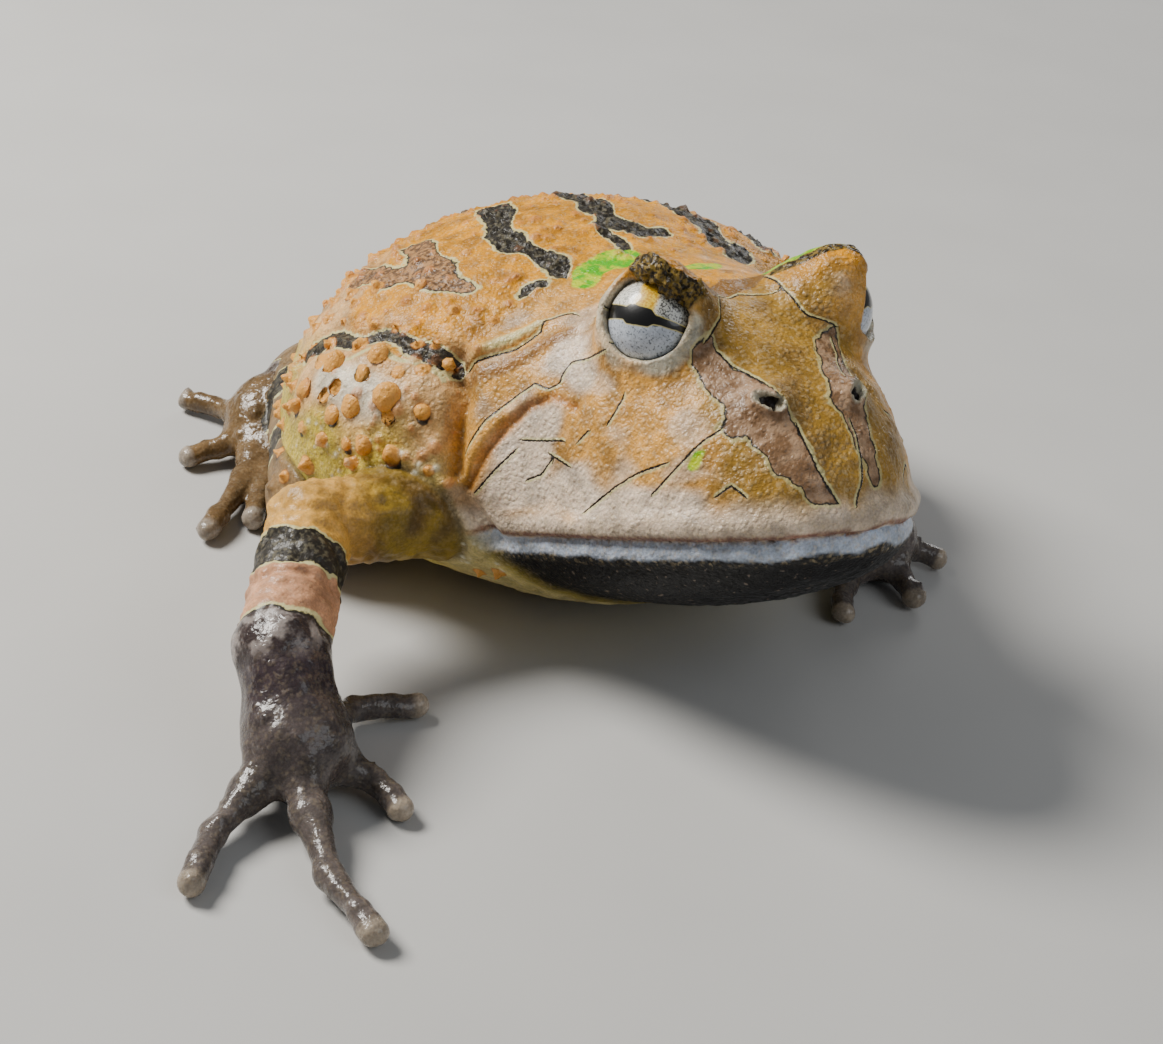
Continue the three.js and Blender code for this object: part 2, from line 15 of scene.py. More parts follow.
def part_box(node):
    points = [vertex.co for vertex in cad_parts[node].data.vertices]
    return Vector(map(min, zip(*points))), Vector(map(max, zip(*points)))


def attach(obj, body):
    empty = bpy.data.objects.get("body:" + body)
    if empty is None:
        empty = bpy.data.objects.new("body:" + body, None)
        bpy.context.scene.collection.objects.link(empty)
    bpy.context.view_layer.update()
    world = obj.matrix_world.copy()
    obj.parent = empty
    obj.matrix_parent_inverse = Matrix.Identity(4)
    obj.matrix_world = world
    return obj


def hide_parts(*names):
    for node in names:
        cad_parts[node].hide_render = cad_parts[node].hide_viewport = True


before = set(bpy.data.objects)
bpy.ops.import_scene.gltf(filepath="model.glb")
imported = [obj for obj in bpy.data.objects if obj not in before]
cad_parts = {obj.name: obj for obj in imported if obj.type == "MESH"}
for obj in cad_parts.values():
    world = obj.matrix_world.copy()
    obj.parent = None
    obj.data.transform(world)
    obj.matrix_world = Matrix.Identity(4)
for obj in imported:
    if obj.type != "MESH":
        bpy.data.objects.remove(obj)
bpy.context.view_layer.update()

MM = 0.001
SKIN_CELL = 0.38
SKIN_BOX = ((-82, -12, -2), (58, 112, 60))

# Head, in its own frame: x to its left, y back from the tip of the upper lip, z up from the mouth
SNOUT = np.array((-4.1, 0.0, 30.6))
HEAD_YAW = -6.1
HEAD_PITCH = 24.9
HEAD_ROLL = 2.0
LIP_WIDTH = 25.4
LIP_DEPTH = 38.0
LIP_POWER = 2.45
NECK = 37.0
FACE_SILL = 4.0
FACE_RISE = 3.51
FACE_POWER = 1.6
CROWN = ((0, 31, -3), (27.8, 36, 31.5))
CHIN = ((0, 30, 2), (26.3, 34, 12))
CHIN_RISE = 5.5
EYE = np.array((11.0, 19.4, 22.7))
EYE_RADIUS = 5.3
EYE_OPENING = 4.6
ORBIT_RADIUS = 6.3
ORBIT_SINK = 1.1
LID = 0.55
HOODS = {  # each upper lid's edges lie across directions, at heights over the eye's middle
    1: ((np.array((-0.554, -0.2, 0.81)), 1.8), (np.array((-0.738, -0.54, 0.405)), 1.7)),
    -1: ((np.array((0.554, -0.2, 0.81)), 3.2),),
}
PUPIL = (-0.641, -0.715, -0.278)
HORN_ROOT = (10.4, 20.0, 23.0, 5.6)
HORN_TIP = (11.4, 16.9, 26.9, 3.1)
NOSTRIL = (4.4, 7.6, 13.6)
NOSTRIL_MOUND = (2.4, 2.6, 2.0)
NOSTRIL_SLIT = ((6.1, 5.6, 14.6, 0.25), (4.9, 4.9, 13.9, 0.45))

# Trunk, as ellipsoids
TRUNK = (
    ((0, 59, 18), (38.5, 30, 19.5)),
    ((0, 57, 25), (30, 27, 17)),
    ((0, 78, 14), (23, 14, 14)),
    ((-1, 40, 19), (24, 17, 17)),
)
TRUNK_BLEND = 8

# How widely neighbouring forms flow into each other
FACE_BLEND = 5
JAW_BLEND = 4
ORBIT_BLEND = 3.5
HORN_BLEND = 3
NOSTRIL_BLEND = 2.5
PALM_BLEND = 2
WART_BLEND = 0.45

# Limbs: balls as x, y, z and radius. Digits: the tip's x and y, and how far the digit bows aside.
ARMS = {
    "right": {
        "joints": (
            (-20, 43, 15, 5.8), (-44.5, 43.5, 17.5, 4.8), (-54.5, 29.5, 12, 5.1), (-56.4, 21.5, 6.6, 4.8),
        ),
        "digits": ((-39, 27, 3.6), (-49, 11.5, 2.2), (-60.5, -4.5, -1.6), (-73, 10, -1.8)),
    },
    "left": {
        "joints": ((18, 45, 14, 5.8), (38.5, 53, 14, 4.8), (33, 37, 8.4, 4.8), (30, 31.5, 5.6, 4.4)),
        "digits": ((20, 33.5, -1), (18.5, 22.5, -1), (29, 21.5, 0.6), (38.5, 28, 1)),
    },
}
LEGS = {
    "right": {
        "joints": ((-14, 74, 13, 11), (-33, 61, 9, 7.8), (-21, 93, 8, 5), (-28, 91, 5.2, 4.4)),
        "digits": (
            (-32.5, 78.5, 0.5), (-38.5, 72, 0.8), (-45, 71.5, 1), (-39.5, 90, 0.6), (-33.5, 105, -0.8),
        ),
    },
    "left": {
        "joints": ((14, 76, 13, 11), (36, 69, 10, 7.8), (20, 95, 8, 5), (27, 94, 5.2, 4.4)),
        "digits": ((33.5, 82.5, -0.5), (40, 79.5, -0.8), (48, 84, -1), (45, 94, -0.6), (35, 104, 0.8)),
    },
}
DIGIT_RADIUS = 1.65
WEB_REACH = 0.36

# Warts
FLANK_WARTS = 420
BACK_BUMPS = 1100
SMALL_BUMPS = 2200
PEARLS = 160

# Heights and depths of the skin's relief. Rings of crumpled skin lie along the arms, at a pace along them.
FOLD_RISE = 0.45
FOLD_DEPTH = 0.5
TEMPLE_RISE = 0.25
TEMPLE_DEPTH = 0.35
NECK_CREASE = 1.5
FLANK_BULGE = 1.3
BAND_DEPTH = 0.7
NOSTRIL_RIM = 0.4
NOSTRIL_DEPTH = 0.5
LIMB_CREASE = 0.5
RINGS_HEIGHT = 0.15
RINGS_PACE = 34

# Camera: where it looks, from how far, and its picture, in millimetres, degrees and pixels
CAMERA_TARGET = (-26.3, 16.8, 28.0)
CAMERA_AZIMUTH = -35.0
CAMERA_ELEVATION = 30.0
CAMERA_ROLL = 6.0
CAMERA_DISTANCE = 220.0
CAMERA_FOCUS = 2091.0
PICTURE_WIDTH = 1163.0

# Markings as strokes of x, y, z and half width, in the head's own frame. Most lie on its right side
# and its left side carries them too. Those over the lids, brow and snout are where they are drawn.
MASK = {  # seen from the front, as x and z round each side's patch
    -1: [
        (-7.3, 21.5), (-9.6, 20.2), (-10.2, 18.4), (-9.7, 17.2), (-9.9, 15.7), (-9.2, 13.7), (-9.4, 12.5),
        (-10.3, 11.5), (-9.5, 10.5), (-8.5, 10.7), (-7.8, 9.4), (-6.8, 7.0), (-5.1, 5.3), (-3.9, 3.4),
        (-1.3, 3.4), (-2.2, 5.4), (-2.8, 7.4), (-3.1, 9.8), (-3.7, 12.2), (-4.5, 14.6), (-5.2, 16.2),
        (-6.7, 18.0), (-7.2, 19.4),
    ],
    1: [
        (8.2, 21.2), (8.4, 19.8), (6.5, 16.3), (5.9, 13.8), (5.5, 10.3), (4.9, 7.8), (4.7, 4.6), (3.6, 4.6),
        (3.2, 7.2), (2.7, 8.8), (2.6, 11.4), (1.8, 14.1), (3.2, 17.0), (4.6, 19.4),
    ],
}
MASK_INNER_EDGE = [
    (-7.3, 12.6, 19.4, 0.05), (-6.7, 10.8, 17.9, 0.05), (-5.8, 9.3, 17.0, 0.05), (-5.0, 7.0, 16.0, 0),
]
NOSTRIL_MARK = [(-6.3, 5.9, 14.7, 0.06), (-5.4, 5.0, 14.1, 0.22), (-4.8, 4.6, 13.8, 0.1)]
TEMPLE_FOLD = [
    (-26.0, 36.4, 18.3, 0.7), (-23.7, 34.6, 18.7, 0.8), (-21.4, 32.9, 19.7, 0.8), (-19.0, 31.3, 21.2, 0.6),
    (-16.5, 29.1, 22.4, 0.3),
]
TEMPLE_LINE = [
    (-26.3, 37.4, 19.4, 0.12), (-23.8, 36.0, 20.2, 0.12), (-21.2, 33.9, 20.9, 0.1), (-18.7, 32.8, 22.6, 0.1),
    (-17.8, 33.0, 23.6, 0.05), (-15.4, 31.0, 24.4, 0.03), (-16.0, 25.0, 25.2, 0), (-16.5, 21.6, 25.0, 0),
]
TEMPLE_RIDGE = [
    (-26.2, 37.9, 20.4, 0.2), (-23.8, 36.9, 21.2, 0.45), (-21.2, 34.9, 22.0, 0.45), (-18.4, 33.5, 23.4, 0.2),
]
CHEEK_FOLD = [
    (-19.0, 24.4, 14.3, 0.1), (-20.1, 27.4, 15.4, 0.3), (-21.8, 29.6, 14.6, 0.4), (-24.1, 31.6, 12.4, 0.4),
    (-26.2, 33.2, 9.7, 0.4), (-27.5, 34.3, 7.0, 0.3), (-28.2, 35.2, 5.3, 0.1),
]
CRACKS = [
    [(-16.9, 20.1, 20.4), (-16.5, 24.0, 19.7), (-17.8, 26.8, 19.1), (-18.8, 27.2, 17.8), (-19.3, 27.2, 16.8),
     (-20.2, 28.2, 16.2), (-21.0, 30.0, 16.9), (-23.0, 31.7, 15.4), (-25.8, 33.6, 13.1), (-28.4, 35.3, 9.5)],
    [(-15.8, 18.6, 15.4), (-16.7, 18.9, 13.8), (-17.5, 19.4, 12.5)],
    [(-23.1, 29.9, 10.7), (-21.6, 27.4, 10.6), (-20.4, 25.1, 10.6)],
    [(-18.8, 21.7, 11.6), (-19.6, 22.9, 10.5)],
    [(-23.8, 30.6, 9.6), (-25.6, 32.4, 7.6), (-27.5, 34.6, 4.9)],
    [(-21.2, 26.1, 8.7), (-22.2, 27.6, 6.9), (-23.1, 29.3, 6.3)],
    [(-21.4, 26.5, 9.1), (-20.5, 23.7, 7.8)],
    [(-10.3, 7.6, 11.5), (-11.9, 8.6, 10.4), (-13.6, 9.7, 8.6), (-15.1, 11.2, 6.7), (-16.1, 12.6, 5.1)],
    [(-14.8, 11.5, 8.3), (-16.9, 14.8, 7.1), (-18.5, 17.7, 5.4), (-20.3, 21.0, 3.0)],
    [(-12.0, 6.1, 4.8), (-10.8, 5.1, 5.8), (-9.9, 3.9, 4.7)],
    [(-3.3, 3.7, 11.4), (-3.2, 2.6, 9.8), (-2.8, 1.1, 7.0), (-2.2, 0.4, 5.4), (-1.3, -0.1, 3.6)],
    [(-8.2, 13.0, 20.6), (-5.6, 14.8, 22.8), (-4.2, 17.8, 25.0), (-4.4, 21.5, 26.9)],
]
PALE_CHEEK = [
    [(-19.8, 27.4, 13.2, 1.6), (-23.4, 30.3, 10.3, 2.6), (-22.8, 28.8, 6.9, 3.4), (-25.7, 32.7, 5.2, 2.2)],
    [(-22.5, 28.0, 5.4, 2.4), (-18.5, 18.5, 4.2, 2.2), (-13.5, 8.5, 3.6, 1.0)],
    [(-17.5, 23.5, 17.2, 1.0), (-19.0, 28.5, 20.0, 1.4), (-14.8, 25.5, 21.6, 0.8)],
]
BROW = [(-5.2, 18.2, 25.8, 1.3), (0.1, 21.4, 26.1, 1.4), (4.2, 22.6, 26.9, 1.1)]
BROW_EDGE = [(-3.6, 17.9, 25.2, 0.05), (-0.3, 19.4, 25.2, 0.05), (3.8, 19.2, 25.9, 0.05)]
LID_CREST = [(5.4, 20.6, 27.2), (7.3, 18.2, 28.3), (9.6, 16.6, 29.3), (11.6, 15.7, 29.7), (13.4, 15.4, 29.2)]
CREST_MIDDLE = -0.2
LIME = [
    [(-11.6, 35.0, 27.8, 1.6), (-9.4, 36.6, 29.2, 2.4), (-5.6, 37.4, 29.8, 2.6)],
    [(-2.6, 29.5, 28.6, 1.0), (0.6, 28.8, 28.5, 1.4), (2.8, 29.6, 28.6, 0.9)],
    [(-12.4, 8.4, 9.2, 0.6), (-12.9, 8.4, 7.8, 0.55)],
    [(6.2, 22.4, 27.9, 1.4), (8.6, 19.9, 29.3, 1.7), (11.4, 18.2, 30.0, 1.7)],
]
# Painted shade: darker brown strokes beside the right eye, along the foot of its lid
EYE_PAINTED_SHADE = [
    (-6.9, 15.4, 26.2, 0.6), (-6.9, 14.4, 24.6, 0.9), (-7.2, 13.6, 22.6, 1.0), (-7.4, 13.3, 20.9, 0.8),
]

# Warts of the right flank and back whose places are known, as x, y, z and half width at the foot,
# and how much of that half width the wart's cone takes up
KNOWN_WARTS = (
    (-31.9, 49.1, 28.2, 1.2), (-34.6, 52.4, 26, 0.8), (-36.1, 54.4, 24.2, 0.75), (-30, 44.9, 28.1, 0.8),
    (-33.7, 45.2, 23.1, 1.15), (-36.5, 49.5, 20.5, 0.85), (-37.5, 54.6, 21.2, 0.8), (-35.5, 68.5, 22.3, 0.9),
    (-37.4, 61.7, 22.2, 0.9), (-32.7, 53.6, 28.9, 0.7), (-34.2, 61.1, 27.3, 0.7), (-34.8, 55.7, 26.7, 0.6),
    (-38, 66.2, 14, 0.8), (-39.9, 60.8, 13.7, 0.8), (-31.2, 41.1, 22.8, 0.6), (-22.9, 51.8, 36.8, 0.7),
    (-20.2, 47.2, 37.1, 0.55), (-17.2, 52.5, 39.4, 0.5), (-23.5, 58.6, 36.8, 0.7), (-25.9, 64.5, 34.4, 0.9),
    (-28.2, 65.7, 32.3, 0.8), (-16.8, 60, 39.6, 0.5),
)
CONE_SHARE = 0.8

# Markings of the trunk, in the body's frame. Those of the back are drawn from above.
BLOTCHES = [
    [(-6.6, 71, 0, 1.9), (-9.4, 66, 0, 1.8), (-12.0, 61.4, 0, 1.7), (-12.0, 57, 0, 1.6),
     (-10.6, 54.2, 0, 1.4), (-10.2, 50.8, 0, 1.4), (-11.1, 44.5, 0, 1.0)],
    [(-11.8, 43.9, 0, 0.8), (-13.4, 46.7, 0, 1.1), (-15.3, 48.5, 0, 1.0)],
    [(4.2, 72, 0, 2.2), (3.0, 63.9, 0, 2.0), (1.5, 56.7, 0, 2.0), (3.4, 53.6, 0, 1.5), (6.6, 53.8, 0, 1.0)],
    [(-0.6, 56.5, 0, 0.9), (-1.1, 51.3, 0, 0.7), (-2.5, 45.0, 0, 0.5)],
    [(14.5, 70, 0, 2.2), (15.8, 60, 0, 2.3), (14.2, 51, 0, 1.4), (12.6, 46, 0, 0.8)],
    [(12.8, 45.4, 0, 0.8), (15.2, 48.5, 0, 1.1), (17.4, 50.4, 0, 0.9)],
    [(24.5, 68, 0, 1.6), (25.5, 60, 0, 1.8), (23.2, 53, 0, 0.9)],
    [(-9, 82, 0, 2.2), (-4.5, 78, 0, 1.4)],
    [(8, 82, 0, 2.4), (12, 77, 0, 1.4)],
]
RUSTY = [
    [(-18.8, 69, 0, 1.4), (-20.6, 63.4, 0, 2.0), (-21.0, 57.5, 0, 1.7), (-20.2, 53.4, 0, 0.8)],
    [(-25.2, 71.7, 0, 1.4), (-24.0, 64.4, 0, 1.7), (-22.6, 59.7, 0, 1.2)],
]
FLANK_BAND = [
    (-33.4, 68.2, 25.8, 1.4), (-32.2, 64.2, 29.1, 1.2), (-31.2, 59.6, 30.9, 0.9), (-28.7, 53.8, 33.3, 0.9),
    (-26.8, 48.6, 33.6, 1.1), (-26.1, 44.6, 32.2, 0.9), (-26.7, 42.6, 30.4, 0.4), (-27.9, 40.9, 27.5, 0.15),
    (-28.9, 39.3, 23.7, 0.05),
]
CHEEK_BACK = [
    (-25.0, 46.6, 34.0, 0), (-26.0, 45.0, 32.6, 0), (-26.6, 42.4, 30.4, 0), (-27.9, 40.9, 27.5, 0),
    (-28.9, 39.3, 23.7, 0), (-28.9, 37.8, 20.5, 0), (-26.0, 34.0, 16.0, 0),
]
FLANK_ARC = [
    (-33.6, 61.4, 26.6, 0.1), (-32.6, 57.2, 29.4, 0.15), (-30.4, 53.8, 31.4, 0.18), (-28.4, 50.2, 32.2, 0.18),
    (-27.5, 46.8, 31.6, 0.15), (-27.2, 43.6, 29.8, 0.08),
]
FLANK_PALE = [(-34.9, 58.0, 26.6, 2.0), (-33.9, 53.2, 27.6, 2.6), (-32.4, 49.6, 28.2, 2.0)]


# Frames


def unit(v):
    v = np.asarray(v, float)
    return v / np.linalg.norm(v)


GAZE = unit((0.66, -0.70, 0.28))


def head_turn():
    yaw, pitch, roll = np.radians([HEAD_YAW, HEAD_PITCH, HEAD_ROLL])
    about_z = Matrix.Rotation(yaw, 3, "Z")
    about_x = Matrix.Rotation(-pitch, 3, "X")
    about_y = Matrix.Rotation(roll, 3, "Y")
    return np.array(about_z @ about_x @ about_y)


HEAD = head_turn()


def into_head(p):
    return (p - SNOUT) @ HEAD


def from_head(q):
    return np.asarray(q, float) @ HEAD.T + SNOUT


def on_side(point, side):
    """A point or direction of the left side, mirrored for side -1."""
    return np.asarray(point, float) * (side, 1, 1)


def frame_shift():
    """From the body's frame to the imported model's, in millimetres."""
    shifts = []
    for name, side in (("eye_left", 1), ("eye_right", -1)):
        low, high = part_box(name)
        middle = (np.array(low) + np.array(high)) / 2 / MM
        shifts.append(middle - from_head(on_side(EYE, side)))
    return np.mean(shifts, axis=0)


SHIFT = frame_shift()


# Distance fields: each takes points as rows and gives millimetres, negative inside


def soft_min(a, b, k):
    h = np.maximum(k - np.abs(a - b), 0) / k
    return np.minimum(a, b) - h * h * k / 4


def soft_max(a, b, k):
    return -soft_min(-a, -b, k)


def ellipsoid(p, at, size):
    q = (p - np.array(at, float)) / np.array(size, float)
    near = np.linalg.norm(q, axis=-1)
    slope = np.linalg.norm(q / np.array(size, float), axis=-1)
    return near * (near - 1) / np.maximum(slope, 1e-9)


def ball(p, at, radius):
    return np.linalg.norm(p - at, axis=-1) - radius


def round_cone(p, a, b):
    """A cone with round ends, from one ball to another."""
    start = np.array(a[:3], float)
    axis = np.array(b[:3], float) - start
    length = np.linalg.norm(axis)
    offset = p - start
    along = offset @ axis / length
    across = np.sqrt(np.maximum((offset * offset).sum(-1) - along * along, 0))
    lean = (a[3] - b[3]) / length
    slant = math.sqrt(1 - lean * lean)
    foot = along * slant - across * lean
    at_start = np.hypot(across, along) - a[3]
    at_end = np.hypot(across, along - length) - b[3]
    between = across * slant + along * lean - a[3]
    return np.where(foot < 0, at_start, np.where(foot > length * slant, at_end, between))


def joined(parts, blend):
    total = parts[0]
    for part in parts[1:]:
        total = soft_min(total, part, blend)
    return total


def outline(q, inset):
    """How far a point lies outside the mouth's outline, seen from above, and how the outline leans there."""
    depth = LIP_DEPTH - inset
    width = LIP_WIDTH - inset
    side = np.abs(q[:, 0]) / width
    past = depth * side**LIP_POWER - (q[:, 1] - inset)
    return past, depth * LIP_POWER / width * side ** (LIP_POWER - 1)


def lip(q, inset, height, radius):
    past, lean = outline(q, inset)
    behind = np.maximum(q[:, 1] - LIP_DEPTH, 0)
    return np.sqrt(past**2 / (1 + lean**2) + (q[:, 2] - height) ** 2 + behind**2) - radius


def upper_head(q):
    past, lean = outline(q, 0)
    rise = np.maximum(q[:, 2] - FACE_SILL, 0) / FACE_RISE
    slope = FACE_POWER / FACE_RISE * rise ** (FACE_POWER - 1)
    face = (past + rise**FACE_POWER) / np.sqrt(1 + lean**2 + slope**2)
    d = soft_max(face, ellipsoid(q, *CROWN), FACE_BLEND)
    d = soft_min(d, lip(q, 0.9, 1.5, 1.5), 1.5)
    for side in (-1, 1):
        d = soft_min(d, ball(q, on_side(EYE - ORBIT_SINK * GAZE, side), ORBIT_RADIUS), ORBIT_BLEND)
        d = soft_min(d, ellipsoid(q, on_side(NOSTRIL, side), NOSTRIL_MOUND), NOSTRIL_BLEND)
        root, tip = [(side * c[0], *c[1:]) for c in (HORN_ROOT, HORN_TIP)]
        d = soft_min(d, round_cone(q, root, tip), HORN_BLEND)
        slit = [(side * c[0], *c[1:]) for c in NOSTRIL_SLIT]
        d = soft_max(d, -round_cone(q, *slit), 0.4)
    return soft_max(open_lids(q, d), -q[:, 2], 0.5)


def over_hood(q, side):
    """How far over the edges of an upper lid a point lies, across the gaze."""
    gaze = on_side(GAZE, side)
    offset = q - on_side(EYE, side)
    edges = [(unit(v - (v @ gaze) * gaze), drop) for v, drop in HOODS[side]]
    return np.max([offset @ v - drop for v, drop in edges], axis=0)


RIM_DEPTH = math.sqrt(EYE_RADIUS**2 - EYE_OPENING**2)


def rim_distance(q, side):
    """Distance to the circle where the lids meet the eye."""
    offset = q - on_side(EYE, side)
    along = offset @ on_side(GAZE, side)
    across = np.sqrt(np.maximum((offset * offset).sum(-1) - along * along, 0))
    return np.hypot(across - EYE_OPENING - 0.35, along - RIM_DEPTH + 0.2)


def open_lids(q, d):
    """Each eye's opening under the hood of its upper lid, with a low rim round it."""
    for side in (-1, 1):
        gaze = on_side(GAZE, side)
        offset = q - on_side(EYE, side)
        along = offset @ gaze
        across = np.sqrt(np.maximum((offset * offset).sum(-1) - along * along, 0))
        if side == 1:
            d = soft_min(d, ball(q, EYE, EYE_RADIUS + LID), 1.5)
        d = soft_min(d, rim_distance(q, side) - 0.6, 0.8)
        flare = EYE_OPENING + 0.3 * np.maximum(along - RIM_DEPTH, 0)
        under_hood = over_hood(q, side) - 0.25 * (along - RIM_DEPTH)
        opening = soft_max(np.maximum(across - flare, 1 - along), under_hood, 0.8)
        d = soft_max(d, -opening, 0.4)
    return d


def lower_head(q):
    past, lean = outline(q, 0.8)
    drop = np.minimum(q[:, 2] + 2, 0)
    jaw = (past + drop * drop / CHIN_RISE) / np.sqrt(1 + lean**2 + (2 * drop / CHIN_RISE) ** 2)
    d = soft_max(jaw, ellipsoid(q, *CHIN), JAW_BLEND)
    d = soft_min(d, lip(q, 1.9, -1.5, 1.3), 1.2)
    return soft_max(d, q[:, 2], 0.5)


def trunk(p):
    return joined([ellipsoid(p, at, size) for at, size in TRUNK], TRUNK_BLEND)


def digit_balls(palm, digit):
    """A digit's balls: its root in the palm, where the web ends, the bowed knuckle, and the knobbed tip."""
    start = np.array(palm[:2], float)
    end = np.array(digit[:2], float)
    aside = np.array((start[1] - end[1], end[0] - start[0])) / np.linalg.norm(end - start) * digit[2]
    top = palm[2]

    def at(share, bow, height, radius):
        x, y = start + (end - start) * share + aside * bow
        return (x, y, height, radius)

    return (
        at(0.06, 0, top * 0.72, DIGIT_RADIUS * 1.5),
        at(WEB_REACH, 0.75, top * 0.36 + 0.9, DIGIT_RADIUS * 1.1),
        at(0.66, 1, 2.15, DIGIT_RADIUS * 0.82),
        at(0.88, 0.4, 1.85, DIGIT_RADIUS * 0.76),
        at(1, 0, DIGIT_RADIUS - 0.15, DIGIT_RADIUS * 0.89),
    )


def limb(p, part):
    """A limb's flesh, its palm webbed to the roots of the digits."""
    joints = part["joints"]
    d = joined([round_cone(p, a, b) for a, b in zip(joints, joints[1:])], 0.8)
    *palm, thick = joints[-1]
    d = soft_min(d, ellipsoid(p, palm, (thick * 1.2, thick * 1.2, thick * 0.85)), PALM_BLEND)
    digits = [digit_balls(joints[-1], digit) for digit in part["digits"]]
    for balls in digits:
        d = soft_min(d, round_cone(p, balls[0], balls[1]), 3)
    for a, b in zip(digits, digits[1:]):
        d = soft_min(d, web(p, joints[-1], a[1], b[1]), 1.2)
    for balls in digits:
        toe = joined([round_cone(p, a, b) for a, b in zip(balls[1:], balls[2:])], 0.6)
        d = soft_min(d, toe, 1.4)
    return d


def web(p, palm, a, b):
    """Thin skin between two digits, from the palm to just short of where they part."""
    middle = [(a[n] + b[n]) / 2 * 0.62 + palm[n] * 0.38 for n in range(3)]
    edge = (*middle[:2], middle[2] * 0.7, 1.1)
    return round_cone(p, (*palm[:2], palm[2] * 0.7, 2.8), edge)


def near_limb(p, part, reach):
    """Which points may lie within reach of a limb."""
    tips = [(*digit[:2], DIGIT_RADIUS) for digit in part["digits"]]
    spots = np.array([joint[:3] for joint in part["joints"]] + tips, float)
    widest = max(joint[3] for joint in part["joints"])
    return np.all((p > spots.min(0) - widest - reach) & (p < spots.max(0) + widest + reach), axis=1)


LIMBS = (*ARMS.values(), *LEGS.values())


def add_limb(d, p, part, blend):
    """Blends a limb into a field, working only where it can matter."""
    close = near_limb(p, part, 4)
    if close.any():
        d[close] = soft_min(d[close], limb(p[close], part), blend)
    return d


def neck_blend(p):
    return 2.5 + 5 * np.clip((p[:, 2] - 26) / 14, 0, 1)


def plain_skin(p):
    """The whole frog without warts."""
    q = into_head(p)
    d = soft_min(np.minimum(upper_head(q), lower_head(q)), trunk(p), neck_blend(p))
    for part in LIMBS:
        d = add_limb(d, p, part, 3)
    return np.maximum(d, -p[:, 2])


def skin(p):
    d = plain_skin(p)
    order = np.argsort(p[:, 0])
    sorted_x = p[order, 0]
    for foot, tip in WARTS:
        middle = (foot[:3] + tip[:3]) / 2
        reach = foot[3] * 2 + 1.5
        first, last = np.searchsorted(sorted_x, (middle[0] - reach, middle[0] + reach))
        rows = order[first:last]
        rows = rows[(np.abs(p[rows, 1:] - middle[1:]) < reach).all(axis=1)]
        if len(rows):
            d[rows] = soft_min(d[rows], round_cone(p[rows], foot, tip), WART_BLEND)
    return d


def slope_of(field, p, h=0.05):
    """The field's gradient by central differences."""
    columns = []
    for axis in range(3):
        step = np.zeros(3)
        step[axis] = h
        columns.append((field(p + step) - field(p - step)) / (2 * h))
    return np.stack(columns, -1)


def settle(field, p, cell, passes):
    """Moves points onto the surface along the field's slope."""
    for _ in range(passes):
        slope = slope_of(field, p)
        steep = np.maximum((slope * slope).sum(-1), 0.2)
        step = slope * (field(p) / steep)[:, None]
        length = np.maximum(np.linalg.norm(step, axis=1), 1e-9)
        p = p - step * np.minimum(1, 0.6 * cell / length)[:, None]
    return p


# Conical warts on the flanks, set where rays from the trunk's middle leave it


def cast(core, directions):
    """The skin's points that rays from inside the trunk reach, and the normals there."""
    reach = np.zeros(len(directions))
    for _ in range(60):
        reach -= 0.8 * plain_skin(core + directions * reach[:, None])
    points = core + directions * reach[:, None]
    slope = slope_of(plain_skin, points)
    return points, slope / np.linalg.norm(slope, axis=1)[:, None]


def flank_warts(random, count):
    """Blunt cones that stand out of both flanks, after those whose places are known."""
    sides = np.where(np.arange(count) % 2, 1, -1)
    angle = random.uniform(-0.8, 1.1, count)
    rise = random.uniform(-0.38, 0.5, count)
    directions = np.stack([sides * np.cos(angle), np.sin(angle), rise], -1)
    directions /= np.linalg.norm(directions, axis=1)[:, None]
    points, normals = cast(np.array((0.0, 60.0, 20.0)), directions)
    flesh = np.min([limb(points, part) for part in LIMBS], axis=0)
    behind_head = (into_head(points)[:, 1] > LIP_DEPTH) & (points[:, 2] > 7)
    warts = set_warts(random)
    for point, normal, gap, free in zip(points, normals, flesh, behind_head):
        size = random.uniform(0.45, 1.05) ** 1.3
        if free and gap > 1.5 and all(np.linalg.norm(point - w[0][:3]) > 0.9 + size + w[0][3] for w in warts):
            warts.append(cone_on(point, normal, size, size * random.uniform(1.0, 1.5)))
    return warts


def set_warts(random):
    """The warts whose places are known."""
    warts = []
    for x, y, z, breadth in KNOWN_WARTS:
        size = breadth * CONE_SHARE
        point = settle(plain_skin, np.array([(x, y, z)], float), 1.0, 4)
        normal = unit(slope_of(plain_skin, point)[0])
        warts.append(cone_on(point[0], normal, size, size * random.uniform(1.5, 1.9)))
    return warts


def cone_on(point, normal, size, height):
    """A blunt cone as two balls, its root sunk in the skin."""
    foot = np.array((*(point - normal * size * 0.35), size))
    tip = np.array((*(point + normal * height * 0.75), size * 0.36))
    return foot, tip


WARTS = flank_warts(np.random.default_rng(5), FLANK_WARTS)


# The skin's surface: one point in each small cell that the surface crosses


